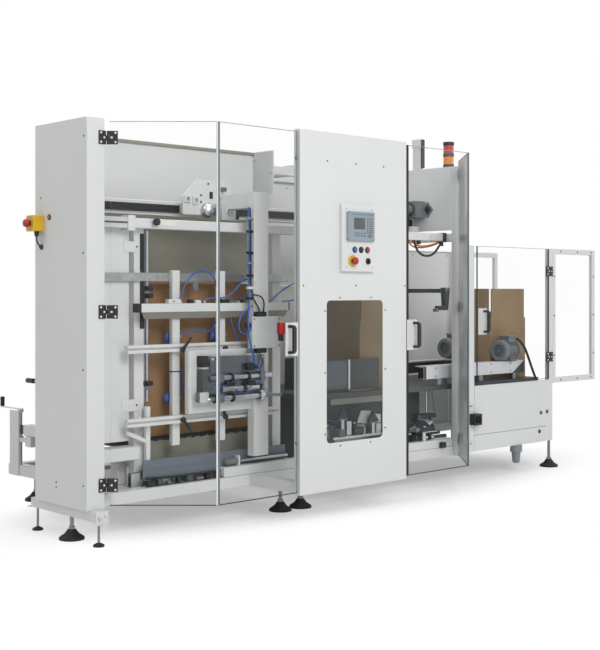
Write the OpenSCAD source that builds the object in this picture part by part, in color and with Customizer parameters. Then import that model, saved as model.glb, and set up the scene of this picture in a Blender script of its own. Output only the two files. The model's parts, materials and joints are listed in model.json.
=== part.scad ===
// Case erector: a guarded packaging machine that draws flat case blanks from a
// magazine, squares them with a sliding transfer head and sends the opened case
// out between two side belts. Millimetres, +Z up, +X along the line.

/* [Frame] */
// Height of the base frame above the floor
base_z = 167; // [140:1:200]
// Side of the square steel tubes
tube = 60; // [50:1:70]
// Front face of the front base tube, behind the pillar's front face
frame_front = 40; // [30:1:55]
// Depth of the main frame
frame_depth = 860; // [820:1:950]
// Height of the enclosure's top edge
top_z = 2017; // [1980:1:2100]
// Underside of the rear top tubes
crown_z = 1888; // [1860:1:1910]
// Thickness of folded sheet steel
sheet = 3; // [2:0.5:4]
// Gap left where two bolted modules meet
joint_gap = 0.5; // [0.2:0.1:0.8]
// Inset of the panel's carriers from its side edges
carrier_inset = 25; // [15:1:60]
// First inner cross tube, past the magazine
cross_lead = 290; // [240:1:330]
// Spacing of the inner cross tubes
cross_pitch = 700; // [600:1:760]
// Left end of the bed rail from the pillar's left face
bed_rail_x = 873; // [840:1:900]
// Height of the bed rail on the front base tube
bed_rail_h = 51; // [44:1:58]
// Step of the bed rail in from the tube's faces
bed_rail_step = 5; // [3:1:8]

/* [End pillar] */
// Width of the pillar along the line
pillar_w = 100; // [80:1:130]
// Depth of the pillar
pillar_d = 460; // [430:1:520]
// Height of the sill tube under the pillar
sill_h = 50; // [40:1:60]
// Width of the sill tube
sill_w = 60; // [50:1:75]
// Reach of the sill past the pillar at the front
sill_reach = 50; // [40:1:70]
// Reach of the sill past the pillar at the rear
sill_rear = 75; // [60:1:90]
// Setback of the rear jack from the sill's rear end
jack_inset = 18; // [15:1:24]

/* [Guard doors] */
// Thickness of the clear sheets
pane_t = 6; // [4:0.5:8]
// Stand of the front facet ahead of the pillar's front face
door_stand = 360; // [320:1:400]
// Run of the left door's slanted facet along the line
left_facet_run = 377; // [330:1:420]
// Run of the left door's front facet along the line
left_front_run = 530; // [480:1:600]
// Run of the right door's front facet along the line
right_front_run = 551; // [480:1:620]
// Run of the right door's slanted facet along the line
right_facet_run = 347; // [320:1:400]
// Height of the doors' lower edge
door_z0 = 182; // [170:1:210]
// Drop of the doors' upper edge below the enclosure's top
door_drop = 14; // [8:1:30]
// Clearance at a door's free edge
door_gap = 8; // [6:1:12]
// Hinge pin's offset past the jamb's edge
pin_offset = 12; // [10:1:14]
// Hinge pin's stand ahead of the jamb's face
pin_stand = 10; // [8:0.5:12]
// Diameter of the hinge knuckles
knuckle_d = 12; // [10:1:14]
// Height of a hinge
hinge_h = 64; // [50:1:80]
// Width of a hinge leaf
hinge_leaf = 40; // [32:1:44]
// Thickness of a hinge leaf
hinge_t = 5; // [4:0.5:6]
// Height of the lowest hinge's middle
hinge_low = 280; // [260:1:320]
// Height of the middle hinge's middle
hinge_mid = 1100; // [1000:1:1200]
// Height of the top hinge's middle
hinge_high = 1925; // [1850:1:1940]

/* [Handles] */
// Width of a handle plate
grip_plate_w = 85; // [75:1:95]
// Height of a handle plate
grip_plate_h = 168; // [150:1:190]
// Height of a guard door's handle plate above the floor
grip_plate_z = 873; // [800:1:950]
// Thickness of a handle plate
grip_plate_t = 3; // [2:0.5:4]
// Length of a bridge handle
grip_h = 144; // [120:1:150]
// Stand of a bridge handle
grip_stand = 44; // [38:1:52]
// Width of the handle's bar
grip_w = 20; // [16:1:24]
// Thickness of the handle's bar
grip_t = 13; // [10:1:16]
// Setback of a handle from its plate's free edge
grip_setback = 60; // [50:1:64]
// Setback of a handle plate from the door's free edge
plate_setback = 1; // [0.5:0.5:4]

/* [Front panel] */
// Width of the operator panel
panel_w = 805; // [760:1:860]
// Stand of the panel's face ahead of the pillar's front face
panel_stand = 372; // [340:1:420]
// Depth of the panel's folded edges
panel_return = 43; // [35:1:55]
// Width of the panel's window
window_w = 424; // [380:1:470]
// Height of the panel's window
window_h = 737; // [680:1:780]
// Height of the window's lower edge
window_z = 413; // [380:1:450]
// Radius of the window's corners
window_r = 25; // [15:1:40]
// Overlap of the window sheet behind the panel
window_lap = 25; // [18:1:35]

/* [Controls] */
// Width of the control plate
plate_w = 248; // [230:1:270]
// Height of the control plate
plate_h = 351; // [330:1:370]
// Height of the control plate's lower edge
plate_z = 1301; // [1280:1:1340]
// Left edge of the control plate from the panel's left edge
plate_x = 281; // [260:1:300]
// Stand of the control plate
plate_t = 20; // [14:1:26]
// Radius of the control plate's corners
plate_r = 8; // [4:1:12]
// Width of the terminal
term_w = 203; // [190:1:215]
// Height of the terminal
term_h = 154; // [140:1:165]
// Stand of the terminal's bezel
term_t = 12; // [8:1:16]
// Depth of the terminal's screen recess
term_recess = 3; // [2:0.5:4]
// Left edge of the terminal from the plate's left edge
term_x = 33; // [24:1:40]
// Lower edge of the terminal over the plate's lower edge
term_z = 159; // [150:1:170]
// Width of the terminal's screen
screen_w = 84; // [76:1:92]
// Height of the terminal's screen
screen_h = 60; // [52:1:68]
// Left edge of the screen from the terminal's left edge
screen_x = 46; // [38:1:54]
// Lower edge of the screen over the terminal's lower edge
screen_z = 62; // [56:1:70]
// Height of the button row over the plate's lower edge
button_z = 114; // [106:1:122]
// Place of the first button from the plate's left edge
button_x = 95; // [85:1:105]
// Spacing of the buttons
button_pitch = 48; // [42:1:54]
// Height of the stop button and the selector over the plate's lower edge
stop_z = 55; // [48:1:60]
// Place of the stop button from the plate's left edge
stop_x = 78; // [66:1:86]
// Place of the selector from the plate's left edge
selector_x = 195; // [180:1:205]
// Diameter of the selector's collar
selector_d = 30; // [26:1:34]
// Diameter of the push buttons
button_d = 24; // [20:1:28]
// Stand of the push buttons
button_t = 14; // [10:1:18]
// Diameter of a stop button's yellow collar
stop_collar_d = 60; // [54:1:66]
// Thickness of the yellow collar
stop_collar_t = 5; // [3:0.5:7]
// Diameter of a stop button's red head
stop_head_d = 40; // [36:1:44]
// Stand of the red head
stop_head_t = 34; // [28:1:40]
// Width of the pillar's stop box
stop_box_w = 68; // [60:1:76]
// Height of the pillar's stop box
stop_box_h = 76; // [66:1:84]
// Depth of the pillar's stop box
stop_box_t = 62; // [54:1:70]
// Middle of the stop box behind the pillar's front face
stop_box_y = 406; // [390:1:416]
// Middle height of the stop box
stop_box_z = 1530; // [1480:1:1580]

/* [Magazine] */
// Left edge of the magazine from the pillar's left face
mag_x0 = 330; // [310:1:350]
// Width of the magazine frame
mag_w = 1080; // [1070:1:1120]
// Rear end of the magazine behind the pillar's front face
mag_y1 = 1300; // [1290:1:1330]
// Width of a flat case blank
blank_w = 790; // [740:1:830]
// Left edge of the blanks from the magazine's left side
blank_lead = 58; // [50:1:70]
// Height of a flat case blank
blank_h = 803; // [740:1:805]
// Depth of the stack of blanks
stack_d = 490; // [300:1:600]
// Height of the magazine bed
mag_bed_z = 455; // [440:1:470]
// Depth of the magazine's guide posts
guide_post_d = 50; // [44:1:56]
// Spacing of the guide posts
guide_pitch = 928; // [900:1:950]
// Width of the bed beams
bed_beam_w = 60; // [50:1:70]
// Spacing of the bed beams
bed_beam_pitch = 470; // [430:1:520]
// Diameter of the guide rods
rod_d = 24; // [20:1:28]
// Lower end of the guide rod
rod_z0 = 636; // [610:1:660]
// Length of the guide rod
rod_l = 872; // [840:1:900]
// Stand of the guide rod off its post
rod_stand = 16; // [14:1:20]
// Height of a rod clamp
rod_clamp_h = 34; // [28:1:40]
// Height of the lower rod clamp
rod_clamp_low = 700; // [680:1:760]
// Height of the upper rod clamp
rod_clamp_high = 1160; // [1130:1:1200]
// Clear gap between the guide posts and the stack
stack_gap = 10; // [6:1:16]
// Setback of the front bearer behind the stack's front
bearer_setback = 20; // [15:1:30]
// Lower face of the magazine's front beam
front_beam_z = 365; // [350:1:380]
// Height of the magazine's front beam
front_beam_h = 64; // [56:1:72]
// Height of the cable tray on the base frame
tray_h = 70; // [60:1:80]
// Clear gap round the cable tray
tray_gap = 10; // [6:1:14]
// Diameter of the adjusting screw
screw_d = 20; // [16:1:24]
// Place of the adjusting screw from the magazine's left edge
screw_inset = 20; // [16:1:30]
// Middle of the adjusting screw behind the pillar's front face
screw_y = 1200; // [1200:1:1215]
// Height of the adjusting screw's top
screw_z = 519; // [519:1:540]
// Length of the crank's arm
crank_arm = 200; // [180:1:210]
// Height of the crank's grip
crank_grip = 62; // [50:1:75]
// Diameter of the crank's grip
crank_grip_d = 26; // [22:1:30]
// Diameter of the crank's hub
crank_hub_d = 34; // [28:1:40]
// Height of the crank's hub
crank_hub_h = 22; // [18:1:26]
// Thickness of the crank's arm
crank_arm_t = 8; // [6:1:10]
// Front face of the magazine's rear bearer
rear_bearer_y = 1060; // [1040:1:1080]
// Rear end of the magazine's side beam
side_beam_y1 = 1140; // [1130:1:1150]
// Front edge of the plate behind the adjusting screw
back_plate_y = 1178; // [1170:1:1182]
// Depth of that plate
back_plate_w = 97; // [90:1:105]
// Thickness of that plate and its flange
back_plate_t = 6; // [4:1:8]
// Width of that plate's flange past the magazine's side
back_plate_flange = 14; // [8:1:16]
// Upper edge of that plate
back_plate_z1 = 530; // [500:1:530]
// Lower face of the bracket between the rear bearer and that plate
back_bracket_z = 357; // [345:1:365]
// Height of that bracket
back_bracket_h = 26; // [20:1:30]
// Height of the backstop's handle
stop_grip_z = 703; // [690:1:715]
// Place of the backstop's handle from the magazine's left edge
stop_grip_inset = 15; // [14:1:20]
// Length of the backstop's rod
stop_rod_l = 147; // [140:1:155]
// Diameter of the backstop's rod
stop_rod_d = 14; // [12:1:16]
// Length of the backstop's handle
stop_grip_l = 73; // [65:1:80]
// Diameter of the backstop's handle
stop_grip_d = 28; // [24:1:30]

/* [Suction frame] */
// Front face of the suction beam behind the pillar's front face
suction_y = 60; // [58:1:64]
// Depth of the suction beam
suction_beam_d = 45; // [40:1:50]
// Height of the suction beam
suction_beam_h = 42; // [36:1:48]
// Lower face of the suction beam
suction_beam_z = 1094; // [1060:1:1120]
// Left end of the suction beam
suction_beam_x = 337; // [325:1:360]
// Length of the suction beam
suction_beam_l = 1010; // [980:1:1025]
// Width of the upright bars
bar_w = 46; // [40:1:50]
// Thickness of the upright bars
bar_d = 25; // [20:1:28]
// Lower end of the upright bars
bar_z0 = 415; // [400:1:430]
// Upper end of the upright bars
bar_z1 = 1304; // [1295:1:1320]
// Height of the slotted rails
slot_rail_h = 40; // [36:1:45]
// Depth of the slotted rails
slot_rail_d = 30; // [26:1:34]
// Left end of the slotted rails
slot_rail_x = 284; // [275:1:300]
// Length of the slotted rails
slot_rail_l = 1010; // [980:1:1030]
// Middle height of the upper slotted rail
slot_rail_high = 911; // [890:1:930]
// Middle height of the lower slotted rail
slot_rail_low = 549; // [530:1:570]
// Diameter of the suction cups
cup_d = 76; // [66:1:84]
// Height of the lower suction cups
cup_low = 652; // [630:1:680]
// Height of the upper suction cups
cup_high = 960; // [940:1:980]
// Length of the suction cups, drawn back from the stack
cup_reach = 34; // [28:1:44]
// Middle of the left upright bar from the pillar's left face
bar_left = 604; // [580:1:620]
// Spacing of the upright bars
bar_pitch = 301; // [280:1:320]
// Width of the rails' slot
slot_w = 10; // [8:1:12]
// Depth of the rails' slot
slot_depth = 12; // [10:1:15]
// Diameter of a clamp lever's hub
lever_d = 22; // [18:1:26]
// Length of a clamp lever
lever_l = 62; // [54:1:70]
// Thickness of a clamp lever
lever_t = 8; // [6:1:10]
// Tilt of the clamp levers from level
lever_tilt = 50; // [30:1:60]
// Height of the galvanised cross channel
channel_h = 42; // [36:1:46]
// Lower face of the cross channel
channel_z = 1248; // [1235:1:1258]

/* [Transfer] */
// Height of the top front beam
beam_h = 50; // [44:1:56]
// Underside of the top front beam
beam_z = 1510; // [1495:1:1525]
// Front face of the top front beam
beam_y = 100; // [95:1:110]
// Front face of the transfer beam
track_y = 400; // [390:1:410]
// Underside of the transfer beam
track_z = 1600; // [1590:1:1605]
// Height of the transfer beam
track_h = 80; // [70:1:90]
// Height of the black guide rail
track_rail_h = 40; // [34:1:46]
// Thickness of the black guide rail
track_rail_t = 15; // [12:1:18]
// Rise of the guide rail over the transfer beam's underside
rail_rise = 20; // [15:1:24]
// Running clearance of the trolley on its rail
slide_gap = 0.5; // [0.3:0.1:0.8]
// Left face of the column at rest
column_x = 1037; // [1030:1:1045]
// Width of the column
column_w = 102; // [90:1:115]
// Depth of the column
column_d = 50; // [44:1:52]
// Lower end of the column
column_z0 = 328; // [320:1:345]
// Rise of the column's top over the transfer beam's lower face
column_rise = 122; // [100:1:140]
// Height of the column's arm
arm_h = 80; // [70:1:90]
// Width of the trolley plate
trolley_w = 341; // [320:1:360]
// Rise of the trolley's lower edge over the transfer beam's lower face
trolley_rise = 9; // [0:1:14]
// Height of the trolley plate
trolley_h = 191; // [175:1:220]
// Thickness of the trolley plate
trolley_t = 12; // [10:1:15]
// Reach of the trolley from its plate to the rail
trolley_reach = 72; // [64:1:80]
// Overhang of the trolley plate past the column's right face
trolley_lap = 13; // [8:1:20]
// Length of a guide block on the trolley
guide_block_l = 100; // [80:1:120]
// Inset of the guide blocks from the trolley plate's ends
guide_block_inset = 30; // [20:1:40]
// Inset of the column's arm from its left face
arm_inset = 20; // [10:1:30]
// Width of the head's white back plate
head_w = 420; // [390:1:440]
// Height of the head's white back plate
head_h = 320; // [300:1:340]
// Lower edge of the head's white back plate
head_z = 577; // [560:1:600]
// Thickness of the head's white back plate
head_t = 25; // [20:1:28]
// Thickness of the gripper's steel plate
tool_t = 8; // [6:1:10]
// Inset of the steel plate from the white plate's left edge
tool_inset = 118; // [100:1:130]
// Reach of the steel plate past the column's left face
tool_lap = 68; // [50:1:80]
// Height of the steel plate
tool_h = 235; // [215:1:245]
// Rise of the steel plate over the white plate's lower edge
tool_rise = 58; // [50:1:66]
// Diameter of the gripper's guide rods
tool_rod_d = 26; // [22:1:30]
// Spacing of the gripper's guide rods
tool_rod_pitch = 104; // [96:1:110]
// Rise of the lower guide rod over the steel plate's lower edge
tool_rod_rise = 16; // [10:1:30]
// Overhang of the guide rods past the steel plate's ends
tool_rod_lap = 26; // [18:1:34]
// Width of a rod block
tool_block_w = 30; // [24:1:36]
// Clear depth between the rods and the steel plate
tool_rod_gap = 8; // [5:1:12]
// Diameter of the gripper's cylinder
tool_cyl_d = 32; // [28:1:36]
// Width of the junction box
box_w = 200; // [180:1:215]
// Height of the junction box
box_h = 166; // [150:1:180]
// Depth of the junction box
box_d = 34; // [30:1:60]
// Lower face of the junction box
box_z = 898; // [897:1:905]
// Overhang of the junction box past the column's left face
box_lap = 40; // [25:1:60]

/* [Case line] */
// Top of the case bed
bed_z = 610; // [600:1:620]
// Thickness of the case bed
bed_t = 30; // [20:1:36]
// Left end of the case bed past the magazine
bed_lead = 150; // [120:1:200]
// Gap between the case bed and the outfeed posts
bed_end_gap = 20; // [12:1:30]
// Left end of the box under the bed, past the bed's end
bed_box_lead = 60; // [40:1:90]
// Length of the box under the bed
bed_box_l = 1020; // [900:1:1060]
// Inset of the box under the bed from the bed's long edges
bed_box_inset = 150; // [120:1:180]
// Width of the opened case across the line
case_d = 306; // [280:1:330]
// Front side of the opened case from the pillar's front face
case_y = 178; // [170:1:190]
// Length of the opened case along the line
case_l = 388; // [340:1:420]
// Height of the opened case with its flaps up
case_h = 604; // [560:1:640]
// Height of the case's flaps
flap_h = 196; // [170:1:210]
// Thickness of the case board
board_t = 6; // [5:0.5:8]
// Width of the slits between the case's flaps
flap_slit = 8; // [5:1:12]
// Left end of the opened case from the pillar's left face
case_x = 3284; // [3270:1:3300]
// Left end of the case in the forming station
forming_x = 2027; // [2000:1:2060]
// Setback of the side guides from the bed plate's left end
guide_lead = 160; // [130:1:190]
// Length of the side guides
guide_l = 455; // [420:1:480]
// Height of the side guides
guide_h = 187; // [160:1:200]
// Thickness of the side guides
guide_t = 8; // [6:1:10]
// Left end of the side belts from the pillar's left face
belt_x = 2512; // [2490:1:2540]
// Length of the side belt units
belt_l = 1029; // [980:1:1060]
// Width of a side belt unit
belt_unit_w = 74; // [70:1:78]
// Height of a side belt unit
belt_unit_h = 81; // [74:1:88]
// Height of a side belt unit above the bed
belt_lift = 42; // [36:1:48]
// Thickness of a side belt
belt_t = 4; // [3:0.5:5]
// Clear gap between the case and a belt unit
belt_clear = 12; // [8:1:16]
// Thickness of a belt unit's covers
belt_cover_t = 6; // [4:0.5:8]
// Side of a belt unit's posts
belt_post = 40; // [34:1:46]
// Place of the first post from a belt unit's left end
belt_post_first = 155; // [120:1:200]
// Spacing of a belt unit's posts
belt_post_pitch = 410; // [360:1:450]
// Diameter of the motors
motor_d = 136; // [120:1:144]
// Length of the motors
motor_l = 190; // [180:1:210]
// Height of a motor's cooling fins
fin_h = 9; // [6:1:12]
// Thickness of a cooling fin
fin_t = 4; // [3:0.5:5]
// Angle between two cooling fins
fin_pitch = 20; // [15:5:30]
// Lift of a motor's round body over its feet
motor_lift = 6; // [4:1:10]
// Length of a motor's foot
foot_l = 24; // [18:1:30]
// Side of a motor's terminal box
box_side = 74; // [66:1:84]
// Rise of the terminal box over the fins
box_rise = 22; // [16:1:30]
// Overhang of the terminal box's lid
box_lip = 4; // [2:0.5:6]
// Thickness of the terminal box's lid
box_lid = 12; // [8:1:16]
// Place of the belt motors from the left end of the belt units
motor_set = 756; // [730:1:780]
// Step of the belt motors out from the belt units' outer faces
motor_step = 10; // [5:1:12]
// Place of the first flap folder from the pillar's left face
folder_x = 2240; // [2200:1:2260]
// Spacing of the flap folders
folder_pitch = 240; // [200:1:260]
// Width of a flap folder's blade
folder_w = 120; // [100:1:140]
// Length of a flap folder's blade
folder_l = 130; // [110:1:150]
// Thickness of a flap folder's blade
folder_t = 6; // [4:1:8]
// Diameter of a flap folder's post
folder_post_d = 30; // [24:1:36]
// Rise of a blade's front edge over the bed rail
folder_rise = 60; // [40:1:80]
// Tilt of the blades
folder_tilt = 25; // [15:1:30]

/* [End wall] */
// Depth of the right end wall behind the post
wall_d = 540; // [500:1:560]
// Lower edge of the right end wall
wall_z0 = 1580; // [1565:1:1590]
// Upper edge of the right end wall and its post
wall_z1 = 1980; // [1950:1:2000]
// Side of the diamond opening in the end wall
wall_hole = 60; // [50:1:70]
// Middle of the diamond opening behind the pillar's front face
wall_hole_y = 251; // [215:1:260]
// Height of the wall motor's axis and the diamond opening
wall_motor_z = 1718; // [1700:1:1740]
// Middle of the wall motor behind the pillar's front face
wall_motor_y = 325; // [315:1:326]
// Diameter of the wall motor
wall_motor_d = 108; // [96:1:110]
// Length of the wall motor
wall_motor_l = 240; // [200:1:280]
// Right end of the hood from the pillar's left face
hood_x1 = 1550; // [1500:1:1600]
// Depth of the hood's side plates
hood_d = 171; // [160:1:185]
// Back of the hood behind the pillar's front face
hood_y = 597; // [585:1:610]
// Lower edge of the hood
hood_z = 1690; // [1685:1:1710]
// Lower edge of the back panel under the hood
back_z = 1266; // [1262:1:1290]
// Top of the rear cover sheet behind the case line
cover_z = 1230; // [1200:1:1260]
// Drop of the deck plates below the top of the base tubes
deck_drop = 20; // [15:1:30]
// Rise of the hood's right plate over the hood's lower edge
hood_step = 80; // [60:1:120]
// Reach of the side panel past the magazine's left edge
side_panel_lap = 15; // [5:1:18]
// Side of the square mast
mast_w = 72; // [60:1:80]
// Thickness of the mast
mast_t = 24; // [18:1:40]
// Front face of the mast behind the pillar's front face
mast_y = 313; // [300:1:340]
// Top of the mast
mast_z1 = 2177; // [2120:1:2200]

/* [Outfeed] */
// Front face of the outfeed behind the pillar's front face
outfeed_y0 = 16; // [10:1:20]
// Width of the left jamb panel
jamb_w = 118; // [100:1:130]
// Depth of the outfeed posts
jamb_d = 36; // [30:1:40]
// Width of the outfeed's door opening
outfeed_w = 811; // [780:1:840]
// Width of the right outfeed post
outfeed_post_w = 40; // [36:1:50]
// Underside of the outfeed
outfeed_z0 = 180; // [175:1:190]
// Top of the outfeed posts
outfeed_z1 = 1488; // [1450:1:1520]
// Top of the low side panels
low_panel_z = 596; // [585:1:600]
// Length of the end guards
guard_l = 516; // [480:1:560]
// Lower edge of the end guards
guard_z0 = 570; // [550:1:590]
// Width of the end guards' frames
guard_rim = 36; // [32:1:48]
// Thickness of the end guards' frames
guard_t = 25; // [20:1:30]
// Height of the outfeed door's handle plate
outfeed_grip_z = 920; // [880:1:960]
// Middle height of the outfeed door's lower hinge
outfeed_hinge_low = 751; // [720:1:790]
// Middle height of the outfeed door's upper hinge
outfeed_hinge_high = 1333; // [1290:1:1370]
// Side of the isolator's body
isolator_w = 72; // [64:1:80]
// Stand of the isolator's body
isolator_t = 45; // [38:1:52]
// Middle height of the isolator
isolator_z = 386; // [360:1:410]
// Overhang of the isolator past the jamb panel
isolator_lap = 20; // [10:1:28]
// Diameter of the isolator's handle
isolator_knob_d = 44; // [38:1:50]
// Stand of the isolator's handle
isolator_knob_t = 22; // [16:1:28]
// Place of the filter bowl from the door opening's left edge
filter_x = 465; // [430:1:520]
// Height of the filter bowl
filter_h = 120; // [100:1:130]
// Diameter of the filter bowl's collar
filter_d = 82; // [72:1:90]
// Gap at the outfeed door's free edge
outfeed_gap = 13; // [8:1:18]
// Inset of the outfeed door's handle plate from the free edge
outfeed_grip_inset = 10; // [6:1:16]

/* [Lamp] */
// Diameter of the stack light
lamp_d = 70; // [60:1:74]
// Top of the stack light
lamp_z1 = 2145; // [2130:1:2170]
// Bottom of the stack light
lamp_z0 = 1900; // [1880:1:1920]
// Middle of the stack light behind the pillar's front face
lamp_y = 137; // [120:1:160]
// Number of lamp tiers
lamp_tiers = 3; // [2:1:4]
// Height of the lamp's base and cap
lamp_ring = 30; // [24:1:36]
// Depth of the groove between two tiers
lamp_groove = 3; // [2:0.5:5]
// Stand of the lamp's axis off the end wall
lamp_stand = 64; // [50:1:70]
// Thickness of the lamp's bracket
lamp_bracket_t = 6; // [4:1:8]

/* [Feet] */
// Diameter of the large foot pads
pad_d = 124; // [110:1:130]
// Height of the large foot pads
pad_h = 50; // [40:1:56]
// Diameter of the large feet's studs
stud_d = 20; // [16:1:24]
// Diameter of the small jack pads
jack_d = 54; // [48:1:60]
// Height of the small jack pads
jack_h = 18; // [14:1:22]
// Diameter of the small jacks' studs
jack_stud_d = 12; // [10:1:14]
// Height of a foot's lock nut
nut_h = 14; // [10:1:18]
// Width of a foot's lock nut
nut_d = 34; // [28:1:40]
// Place of the pillar's large foot behind the pillar's front face
pillar_foot_y = 206; // [190:1:240]
// Setback of the front foot left of the magazine's right edge
front_foot_back = 120; // [100:1:150]
// Step of the next foot right of the magazine's right edge
front_foot_step = 30; // [20:1:45]
// Inset of the magazine's rear feet from its ends
mag_foot_inset = 160; // [120:1:200]

/* [Hidden] */
$fn = 48;

// Positions along the line, from the pillar's left face
panel_x0 = pillar_w + pin_offset + left_facet_run + left_front_run;
panel_x1 = panel_x0 + panel_w;
post_x0 = panel_x1 + right_front_run + right_facet_run + pin_offset;
post_x1 = post_x0 + tube;
jamb_x0 = post_x1 + joint_gap;
jamb_x1 = jamb_x0 + jamb_w;
outfeed_x0 = jamb_x1 + outfeed_w;
outfeed_x1 = outfeed_x0 + outfeed_post_w;
guard_x1 = outfeed_x1 + guard_l;
mag_x1 = mag_x0 + mag_w;
mag_cx = mag_x0 + mag_w / 2;

// Positions across the line, from the pillar's front face
frame_y1 = frame_front + frame_depth;
panel_y = -panel_stand;
panel_back = panel_y + panel_return;
outfeed_y1 = frame_y1;
outfeed_cy = (outfeed_y0 + outfeed_y1) / 2;
line_cy = case_y + case_d / 2;
suction_back = suction_y + suction_beam_d;
bar_back = suction_back + bar_d;
channel_d = beam_y + beam_h - bar_back;
guide_y = beam_y + beam_h;
blank_y = guide_y + guide_post_d + stack_gap;

// Heights
base_top = base_z + tube;
sill_z = base_z - sill_h;
door_z1 = top_z - door_drop;

// Middle of the whole machine in plan
x_min = -(stop_box_t + stop_head_t);
y_min = panel_y - plate_t - stop_collar_t - stop_head_t;
y_max = max(mag_y1 - tube / 2 + pad_d / 2, screw_y + crank_arm + crank_grip_d / 2);
mid_x = (x_min + guard_x1) / 2;
mid_y = (y_min + y_max) / 2;

white = [0.90, 0.91, 0.91];
grey = [0.62, 0.64, 0.66];
dark = [0.22, 0.23, 0.24];
black = [0.06, 0.06, 0.065];
steel = [0.72, 0.73, 0.75];
clear = [0.80, 0.86, 0.88, 0.35];
yellow = [0.93, 0.72, 0.05];
red = [0.75, 0.06, 0.06];
blue = [0.08, 0.22, 0.62];
board = [0.66, 0.50, 0.34];

// Moves a piece from the pillar's corner to the middle of the machine
module machine() {
    translate([-mid_x, -mid_y, 0]) children();
}

// A block given by its ranges along the three axes
module span(x, y, z) {
    translate([x[0], y[0], z[0]])
        cube([x[1] - x[0], y[1] - y[0], z[1] - z[0]]);
}

// A flat rounded plate in the XZ plane, with its thickness towards -Y
module round_plate(w, h, r, t) {
    rotate([90, 0, 0]) linear_extrude(t) rounded_rect(w, h, r);
}

module rounded_rect(w, h, r) {
    translate([r, 0]) square([w - 2 * r, h]);
    translate([0, r]) square([w, h - 2 * r]);
    for (x = [r, w - r], y = [r, h - r]) translate([x, y]) circle(r);
}

// A ring of constant width round two equal rollers, in the XY plane
module stadium(length, r) {
    translate([r, -r]) square([length - 2 * r, 2 * r]);
    for (x = [r, length - r]) translate([x, 0]) circle(r);
}

// Jamb frames: s runs from the jamb's edge into the opening, y towards the machine
module left_jamb() {
    translate([pillar_w, 0, 0]) children();
}

module right_jamb() {
    translate([post_x0, 0, 0]) mirror([1, 0, 0]) children();
}

pin = [pin_offset, -pin_stand];
function bend(facet_run) = [pin_offset + facet_run, -(door_stand + pane_t)];
function facet_dir(facet_run) = (bend(facet_run) - pin) / norm(bend(facet_run) - pin);
function facet_angle(facet_run) = atan2(facet_dir(facet_run).y, facet_dir(facet_run).x);
function inner_normal(facet_run) = [-facet_dir(facet_run).y, facet_dir(facet_run).x];
function miter(facet_run) =
    (inner_normal(facet_run) + [0, 1]) / (1 + inner_normal(facet_run).y);

// One clear sheet, bent once: the slanted facet from the hinge and the front facet
module bent_pane(facet_run, front_run) {
    start = pin + facet_dir(facet_run) * pin_offset;
    corner = bend(facet_run);
    free_s = pin_offset + facet_run + front_run - door_gap;
    translate([0, 0, door_z0]) linear_extrude(door_z1 - door_z0) polygon([
        start, corner, [free_s, corner.y],
        [free_s, corner.y + pane_t],
        corner + miter(facet_run) * pane_t,
        start + inner_normal(facet_run) * pane_t
    ]);
}

// The leaf that stays on the jamb, with the middle knuckle
module fixed_leaf(z) {
    third = hinge_h / 3;
    reach = pin.x - knuckle_d / 2 - 1;
    span([reach - hinge_leaf, reach], [-hinge_t, 0], [z - hinge_h / 2, z + hinge_h / 2]);
    translate([0, 0, z - third / 2]) {
        translate(pin) cylinder(d = knuckle_d, h = third);
        span([reach - 1, pin.x], [pin.y, -hinge_t / 2], [0, third]);
    }
}

// The leaf that turns with a door along the given angle, with two end knuckles
module moving_leaf(z, angle) {
    third = hinge_h / 3;
    clear_s = knuckle_d / 2 + 1;
    end_h = third - joint_gap;
    translate([pin.x, pin.y, z]) rotate(angle) {
        span([clear_s, clear_s + hinge_leaf], [-hinge_t, 0], [-hinge_h / 2, hinge_h / 2]);
        for (end = [-1, 1]) translate([0, 0, end * (hinge_h - end_h) / 2]) {
            translate([0, 0, -end_h / 2]) cylinder(d = knuckle_d, h = end_h);
            span([0, clear_s + 1], [-hinge_t, 0], [-end_h / 2, end_h / 2]);
        }
    }
}

// A bridge handle that stands towards -Y from y = 0, centred on x = 0
module bridge_handle() {
    r = grip_stand / 2;
    translate([-grip_w / 2, 0, 0]) rotate([90, 0, 90]) linear_extrude(grip_w)
        difference() {
            bridge_side(grip_h, grip_stand, r);
            translate([0, grip_t])
                bridge_side(grip_h - 2 * grip_t, grip_stand - grip_t, r - grip_t);
        }
}

// Side outline of a bridge: x towards -stand, y up along the handle
module bridge_side(h, stand, r) {
    translate([r - stand, 0]) square([stand - r, h]);
    translate([-stand, r]) square([stand, h - 2 * r]);
    for (y = [r, h - r]) translate([r - stand, y]) circle(r);
}

module base_rails() {
    color(white) machine() {
        span([pillar_w, post_x0], [frame_front, frame_front + tube], [base_z, base_top]);
        span([mag_x0, post_x1], [frame_y1 - tube, frame_y1], [base_z, base_top]);
        span([mag_x0, mag_x1], [mag_y1 - tube, mag_y1], [base_z, base_top]);
        for (y = [outfeed_y0 + sheet, outfeed_y1 - sheet - jamb_d])
            span([jamb_x1, outfeed_x0], [y, y + jamb_d], [outfeed_z0, outfeed_z0 + tube]);
    }
}

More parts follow.
